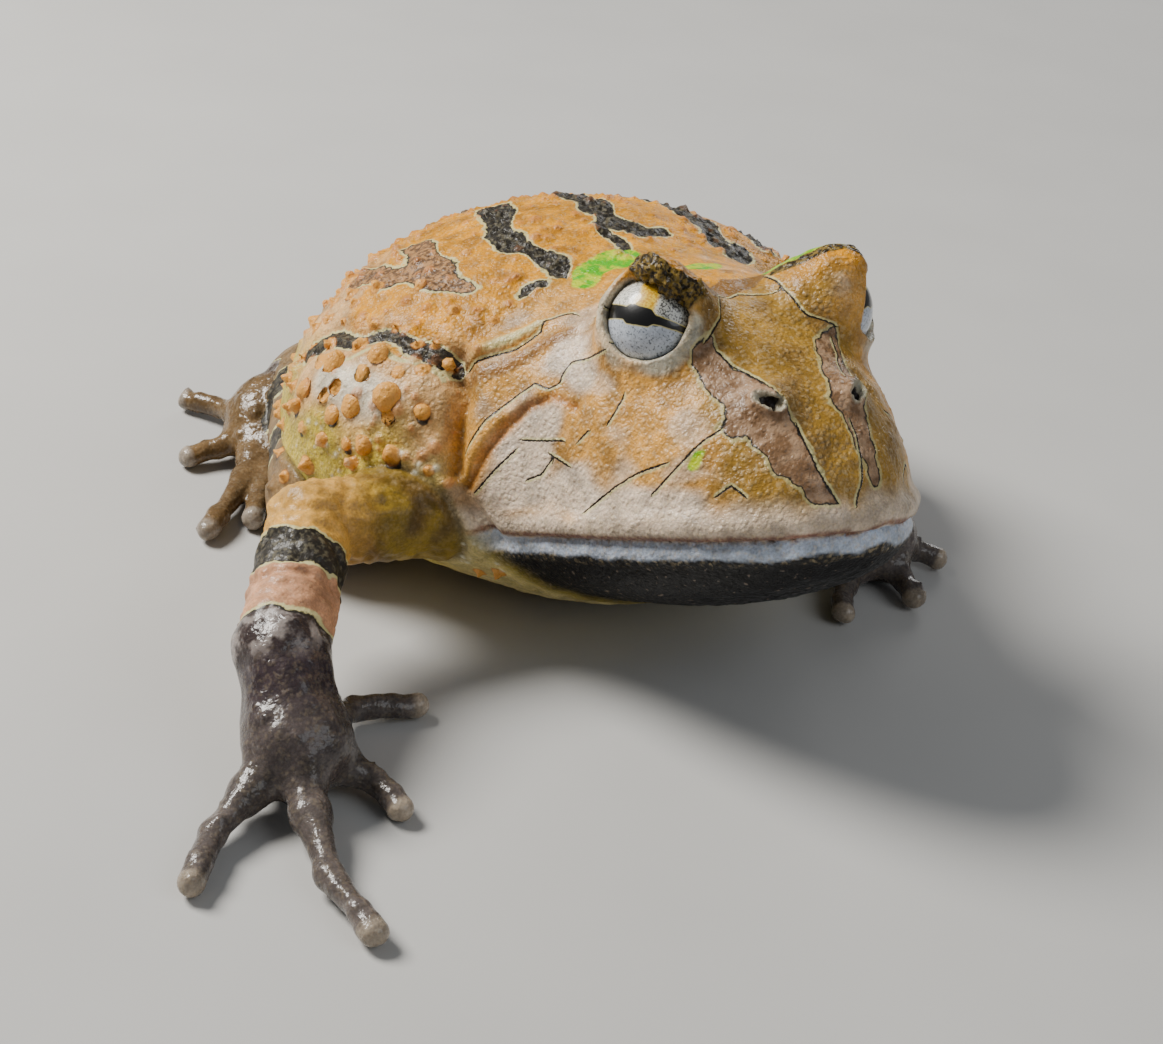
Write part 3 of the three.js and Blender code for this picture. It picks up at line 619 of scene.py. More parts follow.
def sample_grid(field, low, high, cell, block=6):
    """The field at the corners of a fine grid, worked out only in blocks near the surface."""
    blocks = [int(math.ceil((high[n] - low[n]) / (cell * block))) for n in range(3)]
    low = np.asarray(low, float)
    middles = [low[n] + cell * block * (np.arange(blocks[n]) + 0.5) for n in range(3)]
    centres = np.stack(np.meshgrid(*middles, indexing="ij"), -1).reshape(-1, 3)
    rough = field(centres)
    near = np.abs(rough) < cell * block * 1.25
    values = np.ones([b * block + 1 for b in blocks], np.float32)
    coarse = rough.reshape(blocks)
    for n in range(3):
        coarse = np.repeat(coarse, block, axis=n)
    values[:-1, :-1, :-1] = coarse
    starts = np.argwhere(near.reshape(blocks)) * block
    ticks = np.arange(block + 1)
    local = np.stack(np.meshgrid(ticks, ticks, ticks, indexing="ij"), -1).reshape(-1, 3)
    for part in np.array_split(starts, max(1, len(starts) // 1500)):
        index = (part[:, None, :] + local[None]).reshape(-1, 3)
        flat = np.unique(np.ravel_multi_index(tuple(index.T), values.shape))
        index = np.stack(np.unravel_index(flat, values.shape), -1)
        values.reshape(-1)[flat] = field(low + index * cell)
    return values, low


def surface_nets(values, low, cell):
    """Points and outward quads of the surface where sampled values change sign."""
    inside = values < 0
    nx, ny, nz = values.shape
    corners = sum(
        inside[i : nx - 1 + i, j : ny - 1 + j, k : nz - 1 + k].astype(np.int8)
        for i in (0, 1)
        for j in (0, 1)
        for k in (0, 1)
    )
    active = (corners > 0) & (corners < 8)
    cells = np.argwhere(active)
    number = np.full(active.shape, -1, np.int32)
    number[active] = np.arange(len(cells))
    total = np.zeros((len(cells), 3))
    hits = np.zeros(len(cells))
    quads = []
    for axis in range(3):
        u, v = [n for n in range(3) if n != axis]
        for du in (0, 1):
            for dv in (0, 1):
                start = cells.copy()
                start[:, u] += du
                start[:, v] += dv
                end = start.copy()
                end[:, axis] += 1
                a, b = values[tuple(start.T)], values[tuple(end.T)]
                cross = (a < 0) != (b < 0)
                place = start[cross].astype(float)
                place[:, axis] += a[cross] / (a[cross] - b[cross])
                total[cross] += place
                hits[cross] += 1
        quads.append(crossing_quads(inside, number, axis))
    return low + cell * total / hits[:, None], np.concatenate(quads)


def crossing_quads(inside, number, axis):
    """One quad round each grid edge along an axis that the surface crosses."""
    u, v = (axis + 1) % 3, (axis + 2) % 3
    before = [slice(None)] * 3
    after = [slice(None)] * 3
    before[axis] = slice(0, -1)
    after[axis] = slice(1, None)
    edges = np.argwhere(inside[tuple(before)] != inside[tuple(after)])
    ring = []
    for du, dv in ((1, 1), (0, 1), (0, 0), (1, 0)):
        cell_at = edges.copy()
        cell_at[:, u] -= du
        cell_at[:, v] -= dv
        ring.append(number[tuple(cell_at.T)])
    ring = np.stack(ring, -1)
    entering = ~inside[tuple(edges.T)]
    ring[entering] = ring[entering][:, ::-1]
    return ring


def mesh_object(name, points, faces):
    """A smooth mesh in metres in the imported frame, from points in millimetres in the body's."""
    mesh = bpy.data.meshes.new(name)
    mesh.vertices.add(len(points))
    mesh.vertices.foreach_set("co", ((points + SHIFT) * MM).astype(np.float32).ravel())
    mesh.loops.add(faces.size)
    mesh.loops.foreach_set("vertex_index", faces.astype(np.int32).ravel())
    mesh.polygons.add(len(faces))
    mesh.polygons.foreach_set("loop_start", np.arange(0, faces.size, faces.shape[1], dtype=np.int32))
    mesh.update(calc_edges=True)
    mesh.validate()
    mesh.polygons.foreach_set("use_smooth", np.ones(len(mesh.polygons), bool))
    piece = bpy.data.objects.new(name, mesh)
    bpy.context.scene.collection.objects.link(piece)
    return piece


def set_number(mesh, name, values):
    attribute = mesh.attributes.new(name, "FLOAT", "POINT")
    attribute.data.foreach_set("value", np.asarray(values, np.float32))


def set_colour(mesh, name, values):
    attribute = mesh.attributes.new(name, "FLOAT_COLOR", "POINT")
    rgba = np.concatenate([values, np.ones((len(values), 1))], axis=1)
    attribute.data.foreach_set("color", rgba.astype(np.float32).ravel())


# Unevenness and smooth steps


def waves(p, length, seed, count=9):
    """A smooth, seeded unevenness, mostly from -1 to 1, whose bumps are about one length wide."""
    random = np.random.default_rng(seed)
    directions = random.normal(size=(count, 3))
    directions /= np.linalg.norm(directions, axis=1)[:, None]
    phases = random.uniform(0, 2 * math.pi, count)
    pace = math.pi / length * random.uniform(0.7, 1.5, count)
    return np.sin((p @ directions.T) * pace + phases).sum(-1) * 1.2 / math.sqrt(count)


def warped(p, size, length, seed):
    """The points, each moved a little, so that drawn edges wander."""
    return p + size * np.stack([waves(p, length, seed + n) for n in range(3)], -1)


def ramp(value, low, high):
    """0 at low, 1 at high, smooth between and flat past both."""
    t = np.clip((value - low) / (high - low), 0, 1)
    return t * t * (3 - 2 * t)


def lerp(a, b, t):
    return a + (b - a) * (t[:, None] if np.ndim(t) else t)


# Markings, measured along the skin


FAR = 50.0
SLACK = 1.6  # a stroke may pass this far over or under the skin that it marks


def stroke_distance(p, normal, marks, from_above=False):
    """Distance to a stroke's edge, negative inside, and which side of the stroke a point lies on."""
    marks = [np.array(mark, float) for mark in marks]
    flat = np.array((1, 1, 0)) if from_above else np.ones(3)
    distance = np.full(len(p), FAR)
    side = np.ones(len(p))
    middle = np.mean([m[:3] for m in marks], axis=0) * flat
    reach = max(np.linalg.norm(m[:3] * flat - middle) + m[3] for m in marks) + 10
    rows = np.nonzero((np.abs(p * flat - middle) < reach).all(axis=1))[0]
    spot, facing = p[rows] * flat, normal[rows]
    for a, b in zip(marks, marks[1:]):
        start, axis = a[:3] * flat, (b[:3] - a[:3]) * flat
        share = np.clip((spot - start) @ axis / (axis @ axis), 0, 1)
        offset = spot - start - share[:, None] * axis
        if not from_above:
            lift = (offset * facing).sum(-1)
            offset = offset - np.clip(lift, -SLACK, SLACK)[:, None] * facing
        found = np.linalg.norm(offset, axis=1) - (a[3] + (b[3] - a[3]) * share)
        better = found < distance[rows]
        distance[rows[better]] = found[better]
        turn = (np.cross(axis, offset[better]) * facing[better]).sum(-1)
        side[rows[better]] = np.where(turn < 0, -1, 1)
    return distance, side


def nearest(p, normal, strokes, from_above=False):
    return np.min([stroke_distance(p, normal, stroke, from_above)[0] for stroke in strokes], axis=0)


def nearest_line(p, normal, lines):
    """Distance to the nearest thin line, and the same signed by the side of that line."""
    near = np.full(len(p), FAR)
    signed = near.copy()
    for line in lines:
        distance, side = stroke_distance(p, normal, line)
        better = distance < near
        near[better] = distance[better]
        signed[better] = (distance * side)[better]
    return near, signed


def thin(line, half=0.0):
    return [(*mark[:3], half) for mark in line]


def outline_distance(u, v, corners):
    """Distance to a closed outline, negative inside it."""
    distance = np.full(len(u), FAR)
    inside = np.zeros(len(u), bool)
    for (u0, v0), (u1, v1) in zip(corners, corners[1:] + corners[:1]):
        du, dv = u1 - u0, v1 - v0
        share = np.clip(((u - u0) * du + (v - v0) * dv) / (du * du + dv * dv), 0, 1)
        distance = np.minimum(distance, np.hypot(u - u0 - share * du, v - v0 - share * dv))
        level = (v0 > v) != (v1 > v)
        inside ^= level & (u < u0 + (v - v0) * du / (dv if dv else 1))
    return np.where(inside, -distance, distance)


def mirrored(stroke):
    return [(-mark[0], *mark[1:]) for mark in stroke]


class Skin:
    """The skin's points with what paint and relief both need to know of them."""

    def __init__(self, points, normal):
        self.p = points
        self.normal = normal
        self.q = into_head(points)
        self.facing = normal @ HEAD
        self.folded_body = points * np.where(points[:, :1] > 0, np.array((-1, 1, 1)), 1)
        self.folded_body_facing = normal * np.where(points[:, :1] > 0, np.array((-1, 1, 1)), 1)
        left = self.q[:, :1] > 0
        flip = np.where(left, np.array((-1, 1, 1)), np.array((1, 1, 1)))
        wandering = self.q + 0.3 * left * np.stack([waves(self.q, 3.5, 70 + n) for n in range(3)], -1)
        self.folded = wandering * flip
        self.folded_facing = self.facing * flip
        self.head = 1 - ramp(self.q[:, 1], NECK - 1.5, NECK + 1.5)
        body = np.min([upper_head(self.q), lower_head(self.q), trunk(points)], axis=0)
        self.limbs = []
        self.limb_share = np.zeros(len(points))
        for part in LIMBS:
            place, nearness = limb_place(points, part)
            share = ramp(body - nearness, -0.8, 0.8)
            self.limbs.append((place, share))
            self.limb_share = np.maximum(self.limb_share, share)
        self.head = self.head * (1 - self.limb_share)
        self.on_trunk = (1 - self.head) * (1 - self.limb_share)

    def on_head(self, strokes):
        """Distance to strokes that both sides of the head carry."""
        return nearest(self.folded, self.folded_facing, strokes) + self.limb_share * FAR

    def on_flanks(self, strokes):
        both = strokes + [mirrored(stroke) for stroke in strokes]
        return nearest(warped(self.p, 0.35, 4, 54), self.normal, both)

    def on_back(self, strokes):
        low_down = np.maximum(31.5 - self.p[:, 2], 0) * 3
        return nearest(warped(self.p, 0.45, 4, 51), self.normal, strokes, from_above=True) + low_down


def limb_place(p, part):
    """How far along a limb's joints each point lies, from 0 at the first, and how near its flesh."""
    place = np.zeros(len(p))
    nearness = np.full(len(p), FAR)
    rows = np.nonzero(near_limb(p, part, 6))[0]
    joints = part["joints"]
    pieces = [(a, b, n, 1.0) for n, (a, b) in enumerate(zip(joints, joints[1:]))]
    for digit in part["digits"]:
        balls = digit_balls(joints[-1], digit)
        step = 1 / (len(balls) - 1)
        pieces += [(a, b, len(joints) - 1 + n * step, step) for n, (a, b) in enumerate(zip(balls, balls[1:]))]
    for a, b, start, span in pieces:
        first = np.array(a[:3], float)
        axis = np.array(b[:3], float) - first
        share = np.clip((p[rows] - first) @ axis / (axis @ axis), 0, 1)
        distance = round_cone(p[rows], a, b)
        better = distance < nearness[rows]
        place[rows[better]] = (start + share * span)[better]
        nearness[rows[better]] = distance[better]
    return place, nearness


# Relief, pushed out along the skin


def relief(s):
    """Unevenness, folds and creases, and the rough crests of the upper lids."""
    height = 0.10 * waves(s.p, 3, 81) * (1 - 0.5 * s.head) + 0.05 * waves(s.p, 1.4, 83)
    fold = s.on_head([thin(CHEEK_FOLD)])
    outer = s.on_head([[(x - 1.0, y + 0.9, z + 0.5, 0) for x, y, z, _ in CHEEK_FOLD]])
    height += FOLD_RISE * bell(outer, 0.9) - FOLD_DEPTH * bell(fold, 0.55)
    height += FOLD_RISE * bell(s.on_head([thin(TEMPLE_RIDGE)]), 0.8)
    height -= TEMPLE_DEPTH * bell(s.on_head([thin(TEMPLE_LINE[:4])]), 0.5)
    height += TEMPLE_RISE * bell(s.on_head([thin(TEMPLE_FOLD)]), 0.7)
    crease = nearest(s.folded_body, s.folded_body_facing, [CHEEK_BACK])
    height -= NECK_CREASE * bell(np.maximum(crease, 0), 1.3)
    flank = nearest(s.folded_body, s.folded_body_facing, [FLANK_PALE])
    height += FLANK_BULGE * (1 - ramp(flank, -2, 7)) * (1 - s.limb_share)
    height -= BAND_DEPTH * bell(s.on_flanks([FLANK_BAND]), 1.0)
    nostril = s.on_head([NOSTRIL_MARK])
    height += NOSTRIL_RIM * bell(nostril - 0.75, 0.35) - NOSTRIL_DEPTH * bell(nostril, 0.3)
    crust, band = lid_crust(s)
    height += (crust + 0.2 * band) * (0.35 + 0.3 * waves(s.p, 0.7, 85) + 0.2 * waves(s.p, 0.45, 87))
    rough = ramp(-s.on_back(BLOTCHES), -0.2, 0.4) * s.on_trunk
    height += rough * (0.16 * waves(s.p, 0.8, 89) + 0.1 * waves(s.p, 0.5, 91) - 0.08)
    for (place, share), arm in zip(s.limbs, (True, True, False, False)):
        height -= 4 * LIMB_CREASE * share * (1 - share)
        if arm:
            rings = np.sin(place * RINGS_PACE + waves(s.p, 3, 93) * 2.5)
            rings = rings * ramp(place, 0.5, 0.8) * (1 - ramp(place, 1.6, 1.95))
            rough = waves(s.p, 0.9, 97) * (1 - ramp(place, 1.8, 1.95))
            height += (RINGS_HEIGHT * rings + 0.07 * rough) * share
    return height


def bell(distance, width):
    return np.exp(-((distance / width) ** 2))


def lid_crust(s):
    """1 on the rough crest of the right upper lid, and on the band along the left one's."""
    gaze = on_side(GAZE, -1)
    offset = s.q - on_side(EYE, -1)
    high = over_hood(s.q, -1) + 0.3 * waves(s.q, 1.2, 95)
    front = ramp(offset @ gaze, 0.3, 1.5) * (1 - ramp(np.linalg.norm(offset, axis=1), 8.6, 9.4))
    toward_snout = offset @ unit(np.cross(HOODS[-1][0][0], gaze))
    right = ramp(high, -0.5, 0.2) * (1 - ramp(high, 2.3, 3.0)) * front
    right = right * (1 - ramp(np.abs(toward_snout - CREST_MIDDLE), 3.4, 4.8))
    left = nearest(s.q, s.facing, [thin(LID_CREST, 0.65)])
    return right, ramp(-left, -0.35, 0.15)


def scatter(points, random, count, weight, sizes, lift):
    """Round bumps at seeded places, as heights over the skin."""
    height = np.zeros(len(points))
    tree = KDTree(len(points))
    for index, point in enumerate(points):
        tree.insert(point, index)
    tree.balance()
    for index in random.choice(len(points), count, p=weight / weight.sum()):
        size = sizes[0] + (sizes[1] - sizes[0]) * random.uniform() ** 2
        for _, other, distance in tree.find_range(points[index], size * 1.8):
            height[other] = max(height[other], size * lift * math.exp(-1.6 * (distance / size) ** 2))
    return height


# Paint


def srgb(red, green, blue):
    """A colour given from 0 to 255 as the eye sees it, in linear light."""
    values = np.array((red, green, blue)) / 255
    return np.where(values <= 0.04045, values / 12.92, ((values + 0.055) / 1.055) ** 2.4)


TAN = srgb(204, 148, 66)
OCHRE = srgb(158, 120, 46)
ORANGE = srgb(208, 140, 10)
PINK = srgb(204, 160, 104)
PALE = srgb(226, 208, 188)
LIP_PINK = srgb(200, 180, 158)
LILAC = srgb(180, 190, 206)
THROAT = srgb(7, 5, 5)
YELLOW = srgb(184, 162, 52)
BELLY = srgb(196, 176, 116)
CREAM = srgb(208, 200, 142)
LIME_GREEN = srgb(76, 172, 0)
HAND = srgb(60, 50, 53)
FINGER = srgb(86, 78, 74)
FOOT = srgb(104, 82, 54)
DARK = srgb(42, 38, 32)
SHOULDER = srgb(206, 192, 138)
IVORY = srgb(236, 228, 206)
# Painted shade for the crease behind the cheek
CREASE_SHADE = srgb(116, 88, 66)
REAR_BROWN = srgb(120, 96, 66)
RUST_BROWN = srgb(132, 86, 30)
DUSK = srgb(112, 84, 46)
FOLD_ORANGE = srgb(176, 112, 48)
TEMPLE_BROWN = srgb(140, 96, 48)
# Painted shadow between the lips
MOUTH_SHADOW_LINE = srgb(120, 82, 66)
EYE_RING = srgb(190, 190, 174)
# Painted shade beside the right eye
PAINTED_SHADE_BROWN = srgb(104, 78, 40)
# Painted shade on the yellow upper arm: olive, and browner for its mottling
PAINTED_SHADE_OLIVE = srgb(138, 112, 34)
PAINTED_SHADE_MOTTLE = srgb(98, 74, 30)
ELBOW = srgb(204, 154, 72)
WRIST_PINK = srgb(194, 142, 106)
DIGIT_TIP = srgb(160, 146, 128)
SHANK = srgb(122, 98, 66)
TOE_TIP = srgb(160, 150, 138)
# Painted shade where the limbs meet the body
LIMB_ROOT_SHADE = srgb(70, 52, 26)


def plain(colour, points):
    """One colour for each point."""
    return np.tile(colour, (len(points), 1))


def trunk_colours(s):
    wander = waves(s.p, 6, 21) * 1.6
    height = s.p[:, 2] + wander
    colour = lerp(plain(BELLY, s.p), YELLOW, ramp(height, 4, 10))
    colour = lerp(colour, SHOULDER, 0.7 * ramp(-s.p[:, 1] + wander, -46, -40))
    colour = lerp(colour, PINK, ramp(height, 21, 26))
    colour = lerp(colour, ORANGE, ramp(height, 31, 34))
    colour = lerp(colour, IVORY, 0.8 * ramp(-s.on_flanks([FLANK_PALE]), -1.5, 1.2))
    # Painted shade: darker brown along the crease behind the cheek
    crease = nearest(s.folded_body, s.folded_body_facing, [CHEEK_BACK])
    colour = lerp(colour, CREASE_SHADE, 0.75 * bell(np.maximum(crease, 0), 1.1))
    rear = ramp(s.p[:, 1] + wander * 2, 74, 86) * (1 - ramp(height, 28, 34))
    colour = lerp(colour, REAR_BROWN, rear)
    colour = lerp(colour, OCHRE, ramp(-s.p[:, 1], -52, -44) * ramp(height, 32, 36) * 0.6)
    return lerp(colour, RUST_BROWN, 0.5 * ramp(waves(s.p, 2.4, 23), 0.2, 1.2) * ramp(height, 26, 32))


def head_colours(s):
    q = s.folded
    rough = waves(s.q, 4, 33)
    front = ramp(-np.abs(q[:, 0]) - 0.25 * q[:, 1] + rough * 1.2, -16, -10)
    colour = lerp(plain(TAN, q), OCHRE, front)
    colour = lerp(colour, ORANGE, ramp(q[:, 2] + waves(s.q, 5, 35), 25, 29))
    colour = lerp(colour, DUSK, 0.5 * ramp(waves(s.q, 3.0, 41), 0.2, 1.2) * ramp(q[:, 2], 4, 9))
    colour = lerp(colour, PALE, 0.85 * ramp(-s.on_head(PALE_CHEEK) + rough * 0.8, -1.6, 0.8))
    colour = lerp(colour, PALE, 0.4 * ramp(waves(s.q, 2.4, 43), 0.3, 1.3) * (1 - front))
    colour = lerp(colour, FOLD_ORANGE, 0.8 * ramp(-s.on_head([CHEEK_FOLD]), -0.7, 0.1))
    colour = lerp(colour, CREAM, 0.85 * ramp(-s.on_head([TEMPLE_RIDGE]), -0.4, 0))
    colour = lerp(colour, TEMPLE_BROWN, 0.85 * ramp(-s.on_head([TEMPLE_FOLD]), -0.7, 0.1))
    lip_edge = q[:, 2] + waves(s.q, 3, 37) * 0.5
    colour = lerp(colour, LIP_PINK, 1 - ramp(lip_edge, 1.8, 4.6))
    # Painted shadow: a darker line where the lips meet
    colour = lerp(colour, MOUTH_SHADOW_LINE, 1 - ramp(np.abs(q[:, 2] - 0.2), 0.15, 0.45))
    chin = lerp(plain(LILAC, q), THROAT, ramp(-q[:, 2] + waves(s.q, 3, 39) * 0.15, 1.9, 2.3))
    chin = lerp(chin, YELLOW * 0.6, ramp(q[:, 1] - 0.2 * q[:, 2], 34, 39))
    colour = lerp(chin, colour, ramp(q[:, 2], -0.35, -0.1))
    for side in (-1, 1):
        ring = 1 - ramp(rim_distance(s.q, side) + rough * 0.3, 0.8, 1.8)
        colour = lerp(colour, EYE_RING, 0.8 * ring * (1 - ramp(over_hood(s.q, side), -0.6, 0.4)))
    # Painted shade beside the right eye, laid over the eye ring
    shade = nearest(warped(s.q, 0.3, 1.5, 77), s.facing, [EYE_PAINTED_SHADE])
    return lerp(colour, PAINTED_SHADE_BROWN, 0.8 * ramp(-shade, -1.2, 0.2))


def arm_colours(s, place):
    """Yellow darkened to olive, mottled browner, at the shoulder as painted shade; golden at the elbow, pink
    before the dark hand, paler at the tips.
    """
    # Painted shade: the upper arm's yellow skin darkened to olive, with browner mottling at random
    shaded = lerp(plain(PAINTED_SHADE_OLIVE, place), PAINTED_SHADE_MOTTLE, ramp(waves(s.p, 2.6, 45), -0.4, 1))
    colour = lerp(shaded, ELBOW, ramp(place, 0.66, 0.95))
    colour = lerp(colour, WRIST_PINK, ramp(place, 1.4, 1.5))
    colour = lerp(colour, HAND, ramp(place, 1.9, 1.94))
    colour = lerp(colour, FINGER, ramp(place, 2.4, 3.4))
    return lerp(colour, DIGIT_TIP, ramp(place, 3.9, 4.0) * 0.8)


def leg_colours(place):
    colour = lerp(plain(ORANGE * 0.7, place), SHANK, ramp(place, 0.5, 1.1))
    colour = lerp(colour, FOOT, ramp(place, 1.8, 2.6))
    return lerp(colour, TOE_TIP, ramp(place, 3.9, 4.0) * 0.7)


def limb_bands(s, place, arm):
    """Distance to the dark bands across a limb, in millimetres, negative inside."""
    wandering = place + waves(s.p, 2.5, 61) * 0.02
    if arm:
        return (np.abs(wandering - 1.4) - 0.12) * 17
    thigh = (np.abs(wandering - 0.5) - 0.13) * 22
    shank = np.minimum((np.abs(wandering - 1.3) - 0.1) * 30, (np.abs(wandering - 1.75) - 0.08) * 30)
    return np.minimum(thigh, shank)


def paint(mesh, s, bumps, pearls):
    """Stores the skin's colours and the distances to its markings."""
    colour = lerp(trunk_colours(s), head_colours(s), s.head)
    wet = 0.3 + 0.15 * s.head
    dark = np.minimum(s.on_back(BLOTCHES), s.on_flanks([FLANK_BAND])) + (1 - s.on_trunk) * 6
    rusty = s.on_back(RUSTY) + (1 - s.on_trunk) * 6
    hand = np.full(len(s.p), FAR)
    for (place, share), arm in zip(s.limbs, (True, True, False, False)):
        colours = arm_colours(s, place) if arm else leg_colours(place)
        colour = lerp(colour, colours, share)
        # Painted shade: darker where each limb meets the body, in the crease there
        colour = lerp(colour, LIMB_ROOT_SHADE, 2.4 * share * (1 - share))
        inside = share > 0.5
        dark = np.where(inside, limb_bands(s, place, arm), dark)
        edge = 1.92 if arm else 2.3
        hand = np.where(inside, (edge - place + waves(s.p, 2.5, 63) * 0.02) * 14, hand)
        wet = wet + (0.95 - wet) * share * ramp(place, edge, edge + 0.1)

    away = s.limb_share * FAR
    front = warped(s.q, 0.12, 1.5, 57)
    mask = np.min([outline_distance(front[:, 0], front[:, 2], corners) for corners in MASK.values()], axis=0)
    mask += 3 * ramp(s.q[:, 1], 17, 19) + away
    lines = [thin(line) for line in (*CRACKS, BROW_EDGE, MASK_INNER_EDGE, TEMPLE_LINE)]
    near, signed = nearest_line(s.folded, s.folded_facing, lines)
    brow = nearest(warped(s.q, 0.15, 2, 73), s.facing, [BROW])
    lime = nearest(warped(s.q, 0.3, 2.5, 75), s.facing, LIME)
    # Dark patches below and in front of some warts: partly pigment, partly painted shadow of the wart
    spots = [
        ball(s.p, foot[:3] + (tip[:3] - foot[:3]) * 0.2 - (0, 0.4, 0.7), foot[3] * 1.25)
        for foot, tip in (*WARTS[:4], *WARTS[4::4])
    ]

    set_colour(mesh, "patch", colour)
    numbers = {
        "dark": dark,
        "rusty": rusty,
        "arc": s.on_flanks([FLANK_ARC]) + (1 - s.on_trunk) * FAR,
        "hand": hand,
        "mask": mask,
        "line_side": signed,
        "line_near": near + away,
        "brow": brow + away,
        "lime": lime + away,
        "spot": np.min(spots, axis=0),
        "nostril": s.on_head([NOSTRIL_MARK]),
        "wet": wet,
        "wart": wart_share(s.p),
        "bump": np.clip(bumps * 3, 0, 1),
        "pearl": np.clip(pearls * 6, 0, 1),
        "crust": np.max(lid_crust(s), axis=0),
        "throat": ramp(-s.q[:, 2], 2.5, 3.2) * s.head * (1 - ramp(s.q[:, 1], 32, 37)),
        "limb": s.limb_share,
    }
    for name, values in numbers.items():
        set_number(mesh, name, values)


def wart_share(p):
    """1 on a wart, falling to 0 round its foot."""
    share = np.zeros(len(p))
    for foot, tip in WARTS:
        rows = np.nonzero((np.abs(p - tip[:3]) < 4).all(axis=1))[0]
        near = round_cone(p[rows], foot, tip)
        share[rows] = np.maximum(share[rows], 1 - ramp(near, 0.05, 0.6))
    return share


def skin_object():
    """The whole skin as one piece: the field's surface, with relief and bumps, and its paint."""
    values, low = sample_grid(skin, *SKIN_BOX, SKIN_CELL)
    points, quads = surface_nets(values, low, SKIN_CELL)
    points = settle(skin, points, SKIN_CELL, 2)
    slope = slope_of(skin, points)
    normal = slope / np.maximum(np.linalg.norm(slope, axis=1), 1e-9)[:, None]
    s = Skin(points, normal)
    random = np.random.default_rng(17)
    upward = ramp(normal[:, 2], 0.1, 0.6) * s.on_trunk
    upward = upward + 0.08 * ramp(normal[:, 2], 0, 0.5) * s.limb_share
    bumps = scatter(points, random, BACK_BUMPS, upward + 1e-4, (0.25, 1.0), 0.68)
    sides = s.on_trunk * ramp(-points[:, 2], -26, -22) * ramp(points[:, 2], 8, 12)
    sides = sides * ramp(-points[:, 1], -66, -50)
    pearls = scatter(points, random, PEARLS, sides + 1e-6, (0.25, 0.5), 0.5)
    fine_bumps = scatter(points, random, SMALL_BUMPS, 0.3 + upward, (0.16, 0.4), 0.4)
    lifted = points + normal * (relief(s) + np.max([bumps, fine_bumps, pearls], axis=0))[:, None]
    lifted[:, 2] = np.maximum(lifted[:, 2], 0)
    piece = mesh_object("frog_skin", lifted, quads)
    paint(piece.data, s, bumps, pearls)
    return piece


# Materials


class Shader:
    """A short hand for wiring a material's nodes. Lengths are in millimetres."""

    def __init__(self, name):
        self.material = bpy.data.materials.new(name)
        self.material.use_nodes = True
        self.nodes = self.material.node_tree.nodes
        self.links = self.material.node_tree.links
        self.surface = self.nodes["Principled BSDF"]
        self.where = self.nodes.new("ShaderNodeTexCoord").outputs["Object"]

    def node(self, kind, **settings):
        made = self.nodes.new(kind)
        for key, value in settings.items():
            setattr(made, key, value)
        return made

    def put(self, socket, value):
        if isinstance(value, bpy.types.NodeSocket):
            self.links.new(value, socket)
        elif isinstance(value, np.ndarray):
            socket.default_value = [*map(float, value), 1.0]
        else:
            socket.default_value = value

    def fix(self, constants):
        for name, value in constants.items():
            self.surface.inputs[name].default_value = value

    def math(self, operation, a, b=0.0):
        made = self.node("ShaderNodeMath", operation=operation)
        self.put(made.inputs[0], a)
        self.put(made.inputs[1], b)
        return made.outputs[0]

    def times(self, a, b):
        return self.math("MULTIPLY", a, b)

    def fade(self, value, start, end):
        """0 at start and 1 at end, smooth between and flat past both."""
        made = self.node("ShaderNodeMapRange", interpolation_type="SMOOTHSTEP")
        self.put(made.inputs["Value"], value)
        made.inputs["From Min"].default_value = min(start, end)
        made.inputs["From Max"].default_value = max(start, end)
        if start > end:
            made.inputs["To Min"].default_value = 1
            made.inputs["To Max"].default_value = 0
        return made.outputs["Result"]

    def mix(self, share, a, b, blend="MIX"):
        made = self.node("ShaderNodeMix", data_type="RGBA", blend_type=blend)
        self.put(made.inputs["Factor"], share)
        self.put(made.inputs[6], a)
        self.put(made.inputs[7], b)
        return made.outputs[2]

    def shade(self, colour, amount):
        """The colour made lighter or darker by a number round 1."""
        return self.mix(1.0, colour, self.grey(amount), "MULTIPLY")

    def grey(self, amount):
        made = self.node("ShaderNodeCombineColor")
        for channel in ("Red", "Green", "Blue"):
            self.put(made.inputs[channel], amount)
        return made.outputs["Color"]

    def number(self, name):
        return self.node("ShaderNodeAttribute", attribute_name=name).outputs["Fac"]

    def colour(self, name):
        return self.node("ShaderNodeAttribute", attribute_name=name).outputs["Color"]

    def noise(self, size, detail=2.0):
        """Noise from about 0.3 to 0.7 whose spots are about size millimetres wide."""
        made = self.node("ShaderNodeTexNoise")
        self.put(made.inputs["Vector"], self.where)
        made.inputs["Scale"].default_value = 1 / (size * MM)
        made.inputs["Detail"].default_value = detail
        return made.outputs["Fac"]

    def about_zero(self, value, reach):
        return self.times(self.math("SUBTRACT", value, 0.5), reach)

    def cells(self, size):
        made = self.node("ShaderNodeTexVoronoi", feature="F1")
        self.put(made.inputs["Vector"], self.where)
        made.inputs["Scale"].default_value = 1 / (size * MM)
        return made.outputs["Distance"]

    def bump(self, height, distance, strength=1.0, normal=None):
        made = self.node("ShaderNodeBump")
        self.put(made.inputs["Height"], height)
        made.inputs["Distance"].default_value = distance * MM
        made.inputs["Strength"].default_value = strength
        if normal is not None:
            self.put(made.inputs["Normal"], normal)
        return made.outputs["Normal"]


